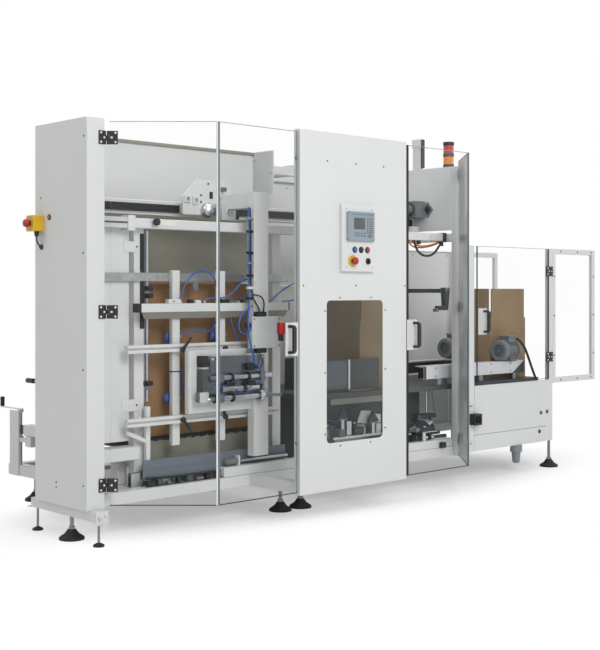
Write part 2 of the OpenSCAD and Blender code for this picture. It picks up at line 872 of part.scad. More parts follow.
module base_crossmembers() {
    color(white) machine() {
        for (x = [mag_x0, mag_x1 - tube, mag_x1 + cross_lead, mag_x1 + cross_lead + cross_pitch])
            span([x, x + tube], [frame_front + tube, frame_y1 - tube], [base_z, base_top]);
        span([post_x0, post_x1], [tube, frame_y1 - tube], [base_z, base_top]);
        for (x = [panel_x0 + carrier_inset, panel_x1 - carrier_inset - tube])
            span([x, x + tube], [panel_back, frame_front], [base_z, base_top]);
        for (x = [mag_x0, mag_x1 - tube])
            span([x, x + tube], [frame_y1, mag_y1 - tube], [base_z, base_top]);
        span([outfeed_x0, outfeed_x1], [outfeed_y0 + jamb_d, outfeed_y1 - jamb_d],
            [outfeed_z0, outfeed_z0 + tube]);
        span([(pillar_w - sill_w) / 2, (pillar_w + sill_w) / 2],
            [-sill_reach, pillar_d + sill_rear], [sill_z, base_z]);
    }
}

module frame_posts() {
    color(white) machine() {
        span([post_x0, post_x1], [0, tube], [base_z, wall_z1]);
        for (x = [mag_x0, mag_x1 - tube, post_x0])
            span([x, x + tube], [frame_y1 - tube, frame_y1], [base_top, crown_z]);
        for (y = [outfeed_y0, outfeed_y1 - jamb_d]) {
            span([jamb_x0, jamb_x1], [y, y + jamb_d], [outfeed_z0, outfeed_z1]);
            span([outfeed_x0, outfeed_x1], [y, y + jamb_d], [outfeed_z0, outfeed_z1]);
        }
        span([post_x0 + sheet, post_x0 + sheet + mast_t], [mast_y, mast_y + mast_w],
            [wall_z0, mast_z1]);
        for (x = [mag_x0, mag_x1 - tube])
            span([x, x + tube], [bearer_ys[0], bearer_ys[0] + tube], [base_top, mag_bed_z - 2 * tube]);
    }
}

module top_rails() {
    color(white) machine() {
        span([pillar_w, post_x0], [beam_y, beam_y + beam_h], [beam_z, beam_z + beam_h]);
        span([pillar_w, post_x0], [track_y, track_y + tube], [track_z, track_z + track_h]);
        span([mag_x0, post_x1], [frame_y1 - tube, frame_y1], [crown_z, crown_z + tube]);
    }
}

module top_crossmembers() {
    color(white) machine() {
        for (x = [mag_x0, hood_x1 - tube])
            span([x, x + tube], [hood_y, frame_y1 - tube], [crown_z, crown_z + tube]);
        span([panel_x1 - carrier_inset - tube, panel_x1 - carrier_inset],
            [panel_back, frame_y1 - tube], [crown_z, crown_z + tube]);
        span([post_x0, post_x1], [tube, frame_y1 - tube], [beam_z, beam_z + beam_h]);
    }
}

// Large feet: place in plan and the height of what they carry
feet = [
    [pillar_w / 2, pillar_foot_y, sill_z],
    [mag_x1 - front_foot_back, frame_front + tube / 2, base_z],
    [mag_x1 + front_foot_step, frame_front + tube / 2, base_z],
    [mag_x0 + mag_foot_inset, mag_y1 - tube / 2, base_z],
    [mag_x1 - mag_foot_inset, mag_y1 - tube / 2, base_z],
    [mag_x1 + front_foot_step, frame_y1 - tube / 2, base_z],
    [post_x0 + tube / 2, frame_y1 - tube / 2, base_z],
    [outfeed_x0 + outfeed_post_w / 2, outfeed_y0 + jamb_d / 2, outfeed_z0],
    [outfeed_x0 + outfeed_post_w / 2, outfeed_y1 - jamb_d / 2, outfeed_z0]
];
jacks = [
    [pillar_w / 2, -sill_reach / 2, sill_z],
    [pillar_w / 2, pillar_d + sill_rear - jack_inset, sill_z]
];

module foot_pads() {
    color(black) machine() {
        for (f = feet) translate([f.x, f.y, 0]) rotate_extrude() polygon([
            [0, 0], [pad_d / 2, 0], [pad_d / 2, pad_h * 0.2], [pad_d * 0.45, pad_h * 0.32],
            [pad_d * 0.3, pad_h * 0.55], [pad_d * 0.2, pad_h * 0.85], [pad_d * 0.17, pad_h], [0, pad_h]
        ]);
        for (j = jacks) translate([j.x, j.y, 0]) rotate_extrude() polygon([
            [0, 0], [jack_d / 2, 0], [jack_d / 2, jack_h * 0.5],
            [jack_stud_d * 0.8, jack_h], [0, jack_h]
        ]);
    }
}

module foot_studs() {
    color(steel) machine() {
        for (f = feet) translate([f.x, f.y, pad_h]) {
            cylinder(d = stud_d, h = f.z - pad_h);
            cylinder(d = nut_d, h = nut_h, $fn = 6);
        }
        for (j = jacks) translate([j.x, j.y, jack_h])
            cylinder(d = jack_stud_d, h = j.z - jack_h);
    }
}

module end_pillar() {
    color(white) machine()
        span([0, pillar_w], [0, pillar_d], [base_z, top_z]);
}

module front_panel() {
    window_x = (panel_w - window_w) / 2;
    color(white) machine() translate([panel_x0, panel_y, base_z]) difference() {
        cube([panel_w, panel_return, top_z - base_z]);
        translate([sheet, sheet, sheet])
            cube([panel_w - 2 * sheet, panel_return, top_z - base_z - 2 * sheet]);
        translate([window_x, sheet + 1, window_z - base_z])
            round_plate(window_w, window_h, window_r, sheet + 2);
    }
}

module front_window() {
    color(clear) machine()
        translate([(panel_x0 + panel_x1 - window_w) / 2 - window_lap,
            panel_y + sheet + pane_t, window_z - window_lap])
            round_plate(window_w + 2 * window_lap, window_h + 2 * window_lap,
                window_r, pane_t);
}

module control_plate() {
    color(white) machine() translate([panel_x0 + plate_x, panel_y, plate_z])
        round_plate(plate_w, plate_h, plate_r, plate_t);
}

// Places on the control plate, from its lower left corner
module on_plate(x, z) {
    translate([panel_x0 + plate_x + x, panel_y - plate_t, plate_z + z]) children();
}

module operator_terminal() {
    color(grey) machine() on_plate(term_x, term_z) difference() {
        round_plate(term_w, term_h, plate_r, term_t);
        translate([screen_x, term_recess - term_t, screen_z])
            round_plate(screen_w, screen_h, term_recess, term_recess + 1);
    }
}

module push_buttons() {
    color(black) machine() {
        for (i = [0 : 2]) on_plate(button_x + i * button_pitch, button_z) rotate([90, 0, 0])
            cylinder(d = button_d, h = button_t);
        on_plate(selector_x, stop_z) rotate([90, 0, 0]) {
            cylinder(d = selector_d, h = button_t / 2);
            translate([-selector_d / 8, -selector_d / 2, 0])
                cube([selector_d / 4, selector_d, button_t]);
        }
    }
}

module stop_bases() {
    color(yellow) machine() {
        on_plate(stop_x, stop_z) rotate([90, 0, 0])
            cylinder(d = stop_collar_d, h = stop_collar_t);
        span([-stop_box_t, 0], [stop_box_y - stop_box_w / 2, stop_box_y + stop_box_w / 2],
            [stop_box_z - stop_box_h / 2, stop_box_z + stop_box_h / 2]);
    }
}

// A red mushroom head along +Z
module stop_head() {
    rotate_extrude() polygon([
        [0, 0], [stop_head_d * 0.3, 0], [stop_head_d * 0.3, stop_head_t * 0.45],
        [stop_head_d / 2, stop_head_t * 0.55], [stop_head_d / 2, stop_head_t * 0.85],
        [stop_head_d * 0.4, stop_head_t], [0, stop_head_t]
    ]);
}

module stop_buttons() {
    color(red) machine() {
        on_plate(stop_x, stop_z) translate([0, -stop_collar_t, 0])
            rotate([90, 0, 0]) stop_head();
        translate([-stop_box_t, stop_box_y, stop_box_z]) rotate([0, -90, 0]) stop_head();
    }
}

hinge_levels = [hinge_low, hinge_mid, hinge_high];
outfeed_hinges = [outfeed_hinge_low, outfeed_hinge_high];

// Jamb frame of the outfeed door, hinged on the right outfeed post
module outfeed_jamb() {
    translate([outfeed_x0 + hinge_t, outfeed_y0, 0]) mirror([1, 0, 0]) children();
}

module hinge_leaves() {
    color(black) machine() {
        for (z = hinge_levels) left_jamb() fixed_leaf(z);
        for (z = hinge_levels) right_jamb() fixed_leaf(z);
        for (z = outfeed_hinges) outfeed_jamb() fixed_leaf(z);
    }
}

module inner_panels() {
    color(white) machine() {
        span([pillar_w, hood_x1], [hood_y - sheet, hood_y], [back_z, top_z]);
        span([hood_x1 - sheet, hood_x1], [hood_y - hood_d, hood_y], [hood_z + hood_step, top_z]);
        span([pillar_w, pillar_w + sheet], [hood_y - hood_d, hood_y], [hood_z, top_z]);
        span([pillar_w, mag_x0 + side_panel_lap], [guide_y, guide_y + sheet],
            [mag_bed_z, beam_z + beam_h]);
        span([mag_x1, post_x0], [frame_y1 - tube / 2, frame_y1 - tube / 2 + pane_t],
            [base_top, cover_z]);
    }
}

module end_wall() {
    color(white) machine() difference() {
        span([post_x0, post_x0 + sheet], [tube, tube + wall_d], [wall_z0, wall_z1]);
        translate([post_x0 - 1, wall_hole_y, wall_motor_z]) rotate([45, 0, 0])
            translate([0, -wall_hole / 2, -wall_hole / 2])
                cube([sheet + 2, wall_hole, wall_hole]);
    }
}

module transfer_rail() {
    color(black) machine()
        span([pillar_w, post_x0], [track_y - track_rail_t, track_y],
            [track_z + rail_rise, track_z + rail_rise + track_rail_h]);
}

// A finned motor along +X from its fan cover, with its feet at z = 0
module motor(d, l) {
    r = d / 2;
    core_r = r - fin_h;
    axis_z = r + motor_lift;
    cover_l = l * 0.27;
    fins_l = l * 0.5;
    translate([0, 0, axis_z]) rotate([0, 90, 0]) {
        rotate_extrude() polygon([
            [0, 0], [core_r, 0], [r, fin_h], [r, cover_l], [core_r, cover_l],
            [core_r, cover_l + fins_l], [r, cover_l + fins_l], [r, cover_l + fins_l + fin_h],
            [core_r * 0.7, l], [0, l]
        ]);
        for (a = [fin_pitch / 2 : fin_pitch : 360 - fin_pitch / 2]) rotate(a)
            translate([core_r - fin_t, -fin_t / 2, cover_l - 1]) cube([fin_h + fin_t, fin_t, fins_l + 2]);
    }
    translate([l * 0.36, -box_side / 2, axis_z + core_r - fin_t]) {
        cube([box_side, box_side, fin_h + box_rise]);
        translate([-box_lip, -box_lip, fin_h + box_rise])
            cube([box_side + 2 * box_lip, box_side + 2 * box_lip, box_lid]);
    }
    for (x = [cover_l + foot_l, cover_l + fins_l - 2 * foot_l]) translate([x, -r * 0.85, 0])
        cube([foot_l, r * 1.7, axis_z - core_r * 0.6]);
}

belt_z = bed_z + belt_lift;
belt_y = case_y - belt_clear - belt_unit_w;
belt_r = belt_unit_w / 2 - belt_cover_t - belt_t;
belt_core_y = belt_unit_w / 2 + belt_cover_t / 2;

// Draws a piece of the front belt side and its mirror image at the rear
module both_sides() {
    children();
    translate([0, 2 * line_cy, 0]) mirror([0, 1, 0]) children();
}

module drive_motors() {
    color(grey) machine() {
        both_sides() translate([belt_x + motor_set, belt_y + motor_step, belt_z + belt_unit_h])
            motor(motor_d, motor_l);
        translate([post_x0 - wall_motor_l, wall_motor_y,
            wall_motor_z - wall_motor_d / 2 - motor_lift]) motor(wall_motor_d, wall_motor_l);
    }
}

module magazine_posts() {
    color(white) machine() {
        for (x = [mag_cx - guide_pitch / 2, mag_cx + guide_pitch / 2])
            span([x - tube / 2, x + tube / 2], [guide_y, guide_y + guide_post_d],
                [base_top, beam_z + beam_h]);
        span([mag_x0 - back_plate_t, mag_x0], [back_plate_y, back_plate_y + back_plate_w],
            [base_z, back_plate_z1]);
        span([mag_x0 - back_plate_t, mag_x0 + back_plate_flange],
            [back_plate_y, back_plate_y + back_plate_t], [base_top, back_plate_z1]);
    }
}

rod_x = mag_cx - guide_pitch / 2 + tube / 2 + rod_stand;
screw_x = mag_x0 + screw_inset;

module guide_rods() {
    clamp_w = rod_d + rod_stand;
    color(steel) machine() {
        translate([rod_x, guide_y + guide_post_d / 2, rod_z0]) cylinder(d = rod_d, h = rod_l);
        for (z = [rod_clamp_low, rod_clamp_high])
            span([rod_x - rod_stand, rod_x - rod_stand + clamp_w],
                [guide_y + guide_post_d / 2 - clamp_w / 2, guide_y + guide_post_d / 2 + clamp_w / 2],
                [z, z + rod_clamp_h]);
        translate([screw_x, screw_y, base_top]) cylinder(d = screw_d, h = screw_z - base_top);
        translate([mag_x0 + stop_grip_inset, frame_y1, stop_grip_z]) rotate([-90, 0, 0])
            cylinder(d = stop_rod_d, h = stop_rod_l);
    }
}

beam_xs = [mag_cx - bed_beam_pitch / 2, mag_cx + bed_beam_pitch / 2];
bearer_ys = [blank_y + bearer_setback, rear_bearer_y];

module magazine_beams() {
    color(white) machine() {
        for (x = beam_xs) span([x - bed_beam_w / 2, x + bed_beam_w / 2],
            [blank_y, side_beam_y1], [mag_bed_z - tube, mag_bed_z]);
        span([mag_x0, mag_x0 + tube], [frame_y1, side_beam_y1], [mag_bed_z - tube, mag_bed_z]);
    }
}

module magazine_bearers() {
    color(white) machine() {
        for (y = bearer_ys)
            span([mag_x0, mag_x1], [y, y + tube], [mag_bed_z - 2 * tube, mag_bed_z - tube]);
        span([pillar_w, mag_cx - guide_pitch / 2 - tube / 2], [beam_y, guide_y + guide_post_d],
            [front_beam_z, front_beam_z + front_beam_h]);
        span([mag_x0, mag_x0 + back_plate_flange], [rear_bearer_y + tube, back_plate_y],
            [back_bracket_z, back_bracket_z + back_bracket_h]);
    }
}

bed_x0 = mag_x1 + bed_lead;

module bed_plate() {
    color(dark) machine()
        span([bed_x0, outfeed_x0 - bed_end_gap], [belt_y, 2 * outfeed_cy - belt_y],
            [bed_z - bed_t, bed_z]);
}

module bed_box() {
    color(dark) machine()
        span([bed_x0 + bed_box_lead, bed_x0 + bed_box_lead + bed_box_l],
            [belt_y + bed_box_inset, 2 * outfeed_cy - belt_y - bed_box_inset],
            [base_top, bed_z - bed_t]);
}

module bed_rail() {
    color(white) machine()
        span([bed_rail_x, post_x0],
            [frame_front + bed_rail_step, frame_front + tube - bed_rail_step],
            [base_top, base_top + bed_rail_h]);
}

// Galvanised U-channels: the cross channel behind the suction bars and the cable tray
module steel_channels() {
    color(grey) machine() {
        span([pillar_w, mag_cx + guide_pitch / 2 + tube / 2], [bar_back, bar_back + channel_d],
            [channel_z, channel_z + channel_h]);
        difference() {
            span([mag_x0, mag_x1 - tube], [frame_front + tube + tray_gap, guide_y - tray_gap],
                [base_top, base_top + tray_h]);
            span([mag_x0 - 1, mag_x1 - tube + 1],
                [frame_front + tube + tray_gap + sheet, guide_y - tray_gap - sheet],
                [base_top + sheet, base_top + tray_h + 1]);
        }
        for (y = [[frame_front + tube, frame_y1 - tube], [frame_y1, mag_y1 - tube]])
            span([mag_x0 + tube, mag_x1 - tube], y, [base_top - deck_drop, base_top - deck_drop + sheet]);
    }
}

module suction_beam() {
    color(white) machine()
        span([suction_beam_x, suction_beam_x + suction_beam_l], [suction_y, suction_back],
            [suction_beam_z, suction_beam_z + suction_beam_h]);
}

bar_xs = [bar_left, bar_left + bar_pitch];

module suction_bars() {
    color(white) machine() for (x = bar_xs)
        span([x - bar_w / 2, x + bar_w / 2], [suction_back, bar_back], [bar_z0, bar_z1]);
}

module slotted_rails() {
    color(white) machine() for (z = [slot_rail_low, slot_rail_high]) difference() {
        span([slot_rail_x, slot_rail_x + slot_rail_l], [suction_back - slot_rail_d, suction_back],
            [z - slot_rail_h / 2, z + slot_rail_h / 2]);
        span([slot_rail_x - 1, slot_rail_x + slot_rail_l + 1],
            [suction_back - slot_rail_d - 1, suction_back - slot_rail_d + slot_depth],
            [z - slot_w / 2, z + slot_w / 2]);
    }
}

cup_zs = [cup_low, cup_high];

module suction_cups() {
    reach = cup_reach;
    r = cup_d / 2;
    color(blue) machine() for (x = bar_xs, z = cup_zs)
        translate([x, bar_back, z]) rotate([-90, 0, 0]) rotate_extrude() polygon([
            [0, 0], [r * 0.35, 0], [r * 0.35, reach * 0.45], [r * 0.8, reach * 0.6],
            [r * 0.6, reach * 0.72], [r, reach], [0, reach]
        ]);
}

module clamp_levers() {
    color(black) machine() {
        for (x = bar_xs, z = [slot_rail_low, slot_rail_high])
            translate([x + bar_w / 2, suction_back - slot_rail_d, z]) rotate([90, 0, 0]) {
                cylinder(d = lever_d, h = 2 * lever_t);
                translate([0, 0, lever_t]) rotate(z == slot_rail_high ? lever_tilt : -lever_tilt)
                    translate([0, -lever_d / 4, 0]) cube([lever_l, lever_d / 2, lever_t]);
            }
        translate([mag_x0 + stop_grip_inset, frame_y1 + stop_rod_l, stop_grip_z]) rotate([-90, 0, 0])
            cylinder(d = stop_grip_d, h = stop_grip_l);
    }
}

module case_blanks() {
    color(board) machine()
        span([mag_x0 + blank_lead, mag_x0 + blank_lead + blank_w], [blank_y, blank_y + stack_d],
            [mag_bed_z, mag_bed_z + blank_h]);
}

module opened_cases() {
    slit = flap_slit;
    color(board) machine() for (x0 = [forming_x, case_x]) translate([x0, case_y, bed_z]) difference() {
        cube([case_l, case_d, case_h]);
        translate([board_t, board_t, board_t])
            cube([case_l - 2 * board_t, case_d - 2 * board_t, case_h]);
        for (x = [-1, case_l - board_t - slit], y = [-1, case_d - board_t - slit])
            translate([x, y, case_h - flap_h])
                cube([board_t + slit + 1, board_t + slit + 1, flap_h + 1]);
    }
}

guide_x = bed_x0 + guide_lead;

module side_guides() {
    color(dark) machine() both_sides()
        span([guide_x, guide_x + guide_l],
            [case_y - belt_clear - guide_t, case_y - belt_clear],
            [bed_z, bed_z + guide_h]);
}

module belt_units() {
    core_l = belt_l - belt_unit_w + 2 * belt_r;
    color(white) machine() both_sides() translate([belt_x, belt_y, belt_z]) {
        translate([0, 0, belt_unit_h - belt_cover_t]) cube([belt_l, belt_unit_w, belt_cover_t]);
        translate([0, belt_cover_t - belt_t / 4, 0]) rotate([90, 0, 0])
            linear_extrude(belt_cover_t - belt_t / 4) polygon([
                [0, 0], [belt_l - belt_unit_h, 0], [belt_l, belt_unit_h], [0, belt_unit_h]
            ]);
        translate([belt_unit_w / 2 - belt_r, belt_core_y, 0])
            linear_extrude(belt_unit_h) stadium(core_l, belt_r);
        for (x = [belt_post_first, belt_post_first + belt_post_pitch])
            translate([x, belt_core_y - belt_post / 2, -belt_lift])
                cube([belt_post, belt_post, belt_lift]);
    }
}

module drive_belts() {
    core_l = belt_l - belt_unit_w + 2 * belt_r;
    color(black) machine() both_sides()
        translate([belt_x + belt_unit_w / 2 - belt_r, belt_y + belt_core_y, belt_z + belt_t])
            linear_extrude(belt_unit_h - belt_cover_t - 2 * belt_t) difference() {
                translate([-belt_t, 0]) stadium(core_l + 2 * belt_t, belt_r + belt_t);
                stadium(core_l, belt_r);
            }
}

module flap_folders() {
    half_w = folder_w / 2;
    color(steel) machine() for (x = [folder_x, folder_x + folder_pitch])
        translate([x, frame_front + tube / 2, base_top + bed_rail_h]) {
            cylinder(d = folder_post_d, h = folder_rise + half_w * tan(folder_tilt) + folder_t / 2);
            translate([-half_w, -half_w, folder_rise]) rotate([folder_tilt, 0, 0])
                cube([folder_w, folder_l, folder_t]);
        }
}

module outfeed_panels() {
    color(white) machine() {
        for (y = [outfeed_y0, outfeed_y1 - sheet])
            span([jamb_x1, outfeed_x0], [y, y + sheet], [outfeed_z0, low_panel_z]);
        span([outfeed_x1 - sheet, outfeed_x1],
            [outfeed_y0 + jamb_d, outfeed_y1 - jamb_d], [outfeed_z0 + tube, bed_z - bed_t]);
    }
}

module guard_frames() {
    color(white) machine() for (y = [outfeed_y0, outfeed_y1 - guard_t])
        translate([outfeed_x1, y, guard_z0]) difference() {
            cube([guard_l, guard_t, outfeed_z1 - guard_z0]);
            translate([guard_rim, -1, guard_rim])
                cube([guard_l - 2 * guard_rim, guard_t + 2,
                    outfeed_z1 - guard_z0 - 2 * guard_rim]);
        }
}

module guard_panes() {
    inset = (guard_t - pane_t) / 2;
    color(clear) machine() {
        for (y = [outfeed_y0 + inset, outfeed_y1 - guard_t + inset])
            span([outfeed_x1 + guard_rim, guard_x1 - guard_rim], [y, y + pane_t],
                [guard_z0 + guard_rim, outfeed_z1 - guard_rim]);
        span([jamb_x1, outfeed_x0], [outfeed_y1 - pane_t, outfeed_y1],
            [low_panel_z, outfeed_z1]);
        span([mag_x1, post_x0], [frame_y1 - tube / 2, frame_y1 - tube / 2 + pane_t],
            [cover_z, crown_z]);
    }
}

module isolator_switch() {
    bar = isolator_knob_d / 4;
    color(black) machine()
        translate([jamb_x1 + isolator_lap - isolator_w / 2, outfeed_y0, isolator_z]) {
            translate([-isolator_w / 2, 0, -isolator_w / 2])
                round_plate(isolator_w, isolator_w, plate_r, isolator_t);
            translate([0, -isolator_t, 0]) rotate([90, 0, 0]) {
                cylinder(d = isolator_knob_d, h = isolator_knob_t / 2);
                translate([-bar / 2, -isolator_knob_d / 2, 0])
                    cube([bar, isolator_knob_d, isolator_knob_t]);
            }
        }
}

module stack_light() {
    r = lamp_d / 2;
    h = lamp_z1 - lamp_z0;
    tier = (h - 2 * lamp_ring) / lamp_tiers;
    bracket_w = lamp_d - 2 * lamp_groove;
    lamp_x = post_x0 + sheet + lamp_stand;
    color(dark) machine() {
        span([post_x0 + sheet, lamp_x + r], [lamp_y - bracket_w / 2, lamp_y + bracket_w / 2],
            [lamp_z0 - lamp_bracket_t, lamp_z0]);
        translate([lamp_x, lamp_y, lamp_z0]) {
            cylinder(r = r, h = lamp_ring);
            for (i = [0 : lamp_tiers - 1]) translate([0, 0, lamp_ring + i * tier]) {
                cylinder(r = r - lamp_groove, h = tier);
                translate([0, 0, lamp_groove]) cylinder(r = r, h = tier - 2 * lamp_groove);
            }
            translate([0, 0, h - lamp_ring])
                rotate_extrude() polygon([
                    [0, 0], [r, 0], [r, lamp_ring / 2], [r / 2, lamp_ring], [0, lamp_ring]
                ]);
        }
    }
}

module filter_bowl() {
    r = filter_d / 2;
    neck = filter_h * 0.62;
    color(grey) machine()
        translate([jamb_x1 + filter_x, outfeed_y0 + sheet + jamb_d / 2, outfeed_z0 - filter_h])
            rotate_extrude() polygon([
                [0, 0], [r * 0.45, 0], [r * 0.6, r * 0.2], [r * 0.76, neck],
                [r, neck], [r, filter_h], [0, filter_h]
            ]);
}

head_y = column_d - head_t;
arm_y = track_y - track_rail_t - slide_gap - trolley_reach;

trolley_z0 = track_z + trolley_rise;
column_z1 = track_z + column_rise;

module trolley() {
    left = column_x + column_w + trolley_lap - trolley_w;
    h = trolley_h;
    slope = h / 2;
    rail_z = track_z + rail_rise - trolley_z0;
    color(white) machine() translate([left, arm_y, trolley_z0]) {
        translate([0, trolley_t, 0]) rotate([90, 0, 0]) linear_extrude(trolley_t) polygon([
            [0, 0], [trolley_w, 0], [trolley_w, h - slope / 2], [trolley_w - slope / 2, h],
            [slope, h], [0, h - slope]
        ]);
        for (x = [guide_block_inset, trolley_w - guide_block_inset - guide_block_l])
            translate([x, trolley_t, rail_z])
                cube([guide_block_l, trolley_reach - trolley_t, track_rail_h]);
    }
}

module carriage_column() {
    color(white) machine() {
        span([column_x, column_x + column_w], [0, column_d], [column_z0, column_z1]);
        span([column_x + arm_inset, column_x + column_w], [column_d, arm_y],
            [column_z1 - arm_h, column_z1]);
    }
}

module head_plate() {
    color(white) machine()
        span([column_x - head_w, column_x], [head_y, column_d], [head_z, head_z + head_h]);
}

module head_tooling() {
    tool_w = head_w - tool_inset + tool_lap;
    block_d = tool_rod_d + 2 * tool_rod_gap;
    block_xs = [tool_block_w, tool_w - 2 * tool_block_w];
    rod_zs = [tool_rod_rise, tool_rod_rise + tool_rod_pitch];
    color(steel) machine()
        translate([column_x - head_w + tool_inset, 0, head_z + tool_rise]) {
            translate([0, -tool_t, 0]) cube([tool_w, tool_t, tool_h]);
            for (x = [tool_block_w, head_w - tool_inset - 2 * tool_block_w])
                translate([x, 0, tool_block_w])
                    cube([tool_block_w, head_y, tool_h - 2 * tool_block_w]);
            for (z = rod_zs) {
                translate([-tool_rod_lap, -tool_t - block_d / 2, z]) rotate([0, 90, 0])
                    cylinder(d = tool_rod_d, h = tool_w + 2 * tool_rod_lap);
                for (x = block_xs) translate([x, -tool_t - block_d, z - block_d / 2])
                    cube([tool_block_w, block_d, block_d]);
            }
            translate([2 * tool_block_w, -tool_t - tool_cyl_d / 2 + 1,
                rod_zs[0] + block_d / 2 + tool_cyl_d / 2 + tool_rod_gap]) rotate([0, 90, 0])
                cylinder(d = tool_cyl_d, h = tool_w - 4 * tool_block_w);
        }
}

module junction_box() {
    color(grey) machine()
        span([column_x - box_lap, column_x - box_lap + box_w], [-box_d, 0], [box_z, box_z + box_h]);
}

// Handle plate and handle at a door's free edge, in the jamb frame
module edge_plate(free_s, y, z) {
    span([free_s - grip_plate_w, free_s], [y - grip_plate_t, y], [z, z + grip_plate_h]);
}

module edge_handle(free_s, y, z) {
    translate([free_s - grip_setback, y - grip_plate_t, z + (grip_plate_h - grip_h) / 2])
        bridge_handle();
}

left_free = pin_offset + left_facet_run + left_front_run - door_gap - plate_setback;
right_free = pin_offset + right_facet_run + right_front_run - door_gap - plate_setback;
door_face = -(door_stand + pane_t);

module left_door_pane() {
    color(clear) machine() left_jamb() bent_pane(left_facet_run, left_front_run);
}

module left_door_plate() {
    color(white) machine() left_jamb() edge_plate(left_free, door_face, grip_plate_z);
}

module left_door_fittings() {
    color(black) machine() left_jamb() {
        for (z = hinge_levels) moving_leaf(z, facet_angle(left_facet_run));
        edge_handle(left_free, door_face, grip_plate_z);
    }
}

module right_door_pane() {
    color(clear) machine() right_jamb() bent_pane(right_facet_run, right_front_run);
}

module right_door_plate() {
    color(white) machine() right_jamb() edge_plate(right_free, door_face, grip_plate_z);
}

module right_door_fittings() {
    color(black) machine() right_jamb() {
        for (z = hinge_levels) moving_leaf(z, facet_angle(right_facet_run));
        edge_handle(right_free, door_face, grip_plate_z);
    }
}

// The outfeed door's face lies on the hinge pins' line
outfeed_free = hinge_t + outfeed_w - outfeed_gap;
outfeed_grip_s = outfeed_free - outfeed_grip_inset;
outfeed_face = -pin_stand;

module outfeed_door_pane() {
    color(clear) machine() outfeed_jamb()
        span([2 * pin_offset, outfeed_free], [outfeed_face, outfeed_face + pane_t],
            [low_panel_z + door_gap, outfeed_z1 - sheet]);
}

module outfeed_door_plate() {
    color(white) machine() outfeed_jamb()
        edge_plate(outfeed_grip_s, outfeed_face, outfeed_grip_z);
}

module outfeed_door_fittings() {
    color(black) machine() outfeed_jamb() {
        for (z = outfeed_hinges) moving_leaf(z, 0);
        edge_handle(outfeed_grip_s, outfeed_face, outfeed_grip_z);
    }
}

module magazine_crank() {
    arm_w = crank_hub_d / 2;
    arm_z = crank_hub_h - crank_arm_t;
    color(black) machine() translate([screw_x, screw_y, screw_z + slide_gap]) {
        cylinder(d = crank_hub_d, h = crank_hub_h);
        translate([-arm_w / 2, 0, arm_z]) cube([arm_w, crank_arm, crank_arm_t]);
        translate([0, crank_arm, arm_z]) cylinder(d = crank_grip_d, h = crank_grip);
    }
}

base_rails();
base_crossmembers();
frame_posts();
top_rails();
top_crossmembers();
foot_pads();
foot_studs();
end_pillar();
front_panel();
front_window();
control_plate();
operator_terminal();
push_buttons();
stop_bases();
stop_buttons();
hinge_leaves();
inner_panels();
end_wall();
transfer_rail();
drive_motors();
magazine_posts();
guide_rods();
magazine_beams();
magazine_bearers();
bed_plate();
bed_box();
bed_rail();
steel_channels();
suction_beam();
suction_bars();
slotted_rails();
suction_cups();
clamp_levers();
case_blanks();
opened_cases();
side_guides();
belt_units();
drive_belts();
flap_folders();
outfeed_panels();
guard_frames();
guard_panes();
isolator_switch();
stack_light();
filter_bowl();
trolley();
carriage_column();
head_plate();
head_tooling();
junction_box();
left_door_pane();
left_door_plate();
left_door_fittings();
right_door_pane();
right_door_plate();
right_door_fittings();
outfeed_door_pane();
outfeed_door_plate();
outfeed_door_fittings();
magazine_crank();
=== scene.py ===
import json
import math

import bmesh
import bpy
from bpy.props import FloatProperty, FloatVectorProperty, PointerProperty
from mathutils import Matrix, Vector


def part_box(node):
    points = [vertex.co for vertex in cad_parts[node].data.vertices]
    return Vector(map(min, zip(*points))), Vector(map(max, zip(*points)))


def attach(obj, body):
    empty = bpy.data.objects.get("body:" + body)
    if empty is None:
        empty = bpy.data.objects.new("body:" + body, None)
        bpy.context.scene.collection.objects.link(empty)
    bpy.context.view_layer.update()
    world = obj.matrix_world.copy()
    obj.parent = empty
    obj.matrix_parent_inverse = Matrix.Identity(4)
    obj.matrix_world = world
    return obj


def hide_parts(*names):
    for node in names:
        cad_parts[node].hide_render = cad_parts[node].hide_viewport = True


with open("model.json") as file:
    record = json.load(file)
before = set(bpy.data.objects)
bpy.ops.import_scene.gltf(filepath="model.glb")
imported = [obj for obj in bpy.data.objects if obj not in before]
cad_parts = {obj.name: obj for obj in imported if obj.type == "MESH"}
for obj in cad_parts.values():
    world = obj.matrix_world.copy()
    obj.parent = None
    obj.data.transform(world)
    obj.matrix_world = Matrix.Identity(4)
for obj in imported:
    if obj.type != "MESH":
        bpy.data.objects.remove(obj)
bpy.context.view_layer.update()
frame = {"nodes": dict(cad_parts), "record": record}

bl_info = {
    "name": "Case erector dressing",
    "version": (1, 0, 0),
    "blender": (4, 5, 0),
    "location": "View3D > Sidebar > Case erector",
    "description": "Finishes, small fittings and a studio for the packed case erector",
    "category": "Object",
}

MM = 0.001
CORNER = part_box("end_pillar")[0]
LEFT, RIGHT = Vector((-1, 0, 0)), Vector((1, 0, 0))
FRONT, BACK = Vector((0, -1, 0)), Vector((0, 1, 0))
UP, DOWN = Vector((0, 0, 1)), Vector((0, 0, -1))
# Edges that bend by more than this stay sharp in the shading.
SHARP = math.radians(38)
# Depth of the guard doors' hinge pins, in millimetres.
PIN_Y = -10


def linear(code):
    """An sRGB hex colour as linear red, green and blue."""
    parts = [int(code[i : i + 2], 16) / 255 for i in (1, 3, 5)]
    return tuple(c / 12.92 if c <= 0.04045 else ((c + 0.055) / 1.055) ** 2.4 for c in parts)


def at(x, y, z):
    """A place in millimetres from the floor under the pillar's front left corner."""
    return Vector((CORNER.x + x * MM, CORNER.y + y * MM, z * MM))


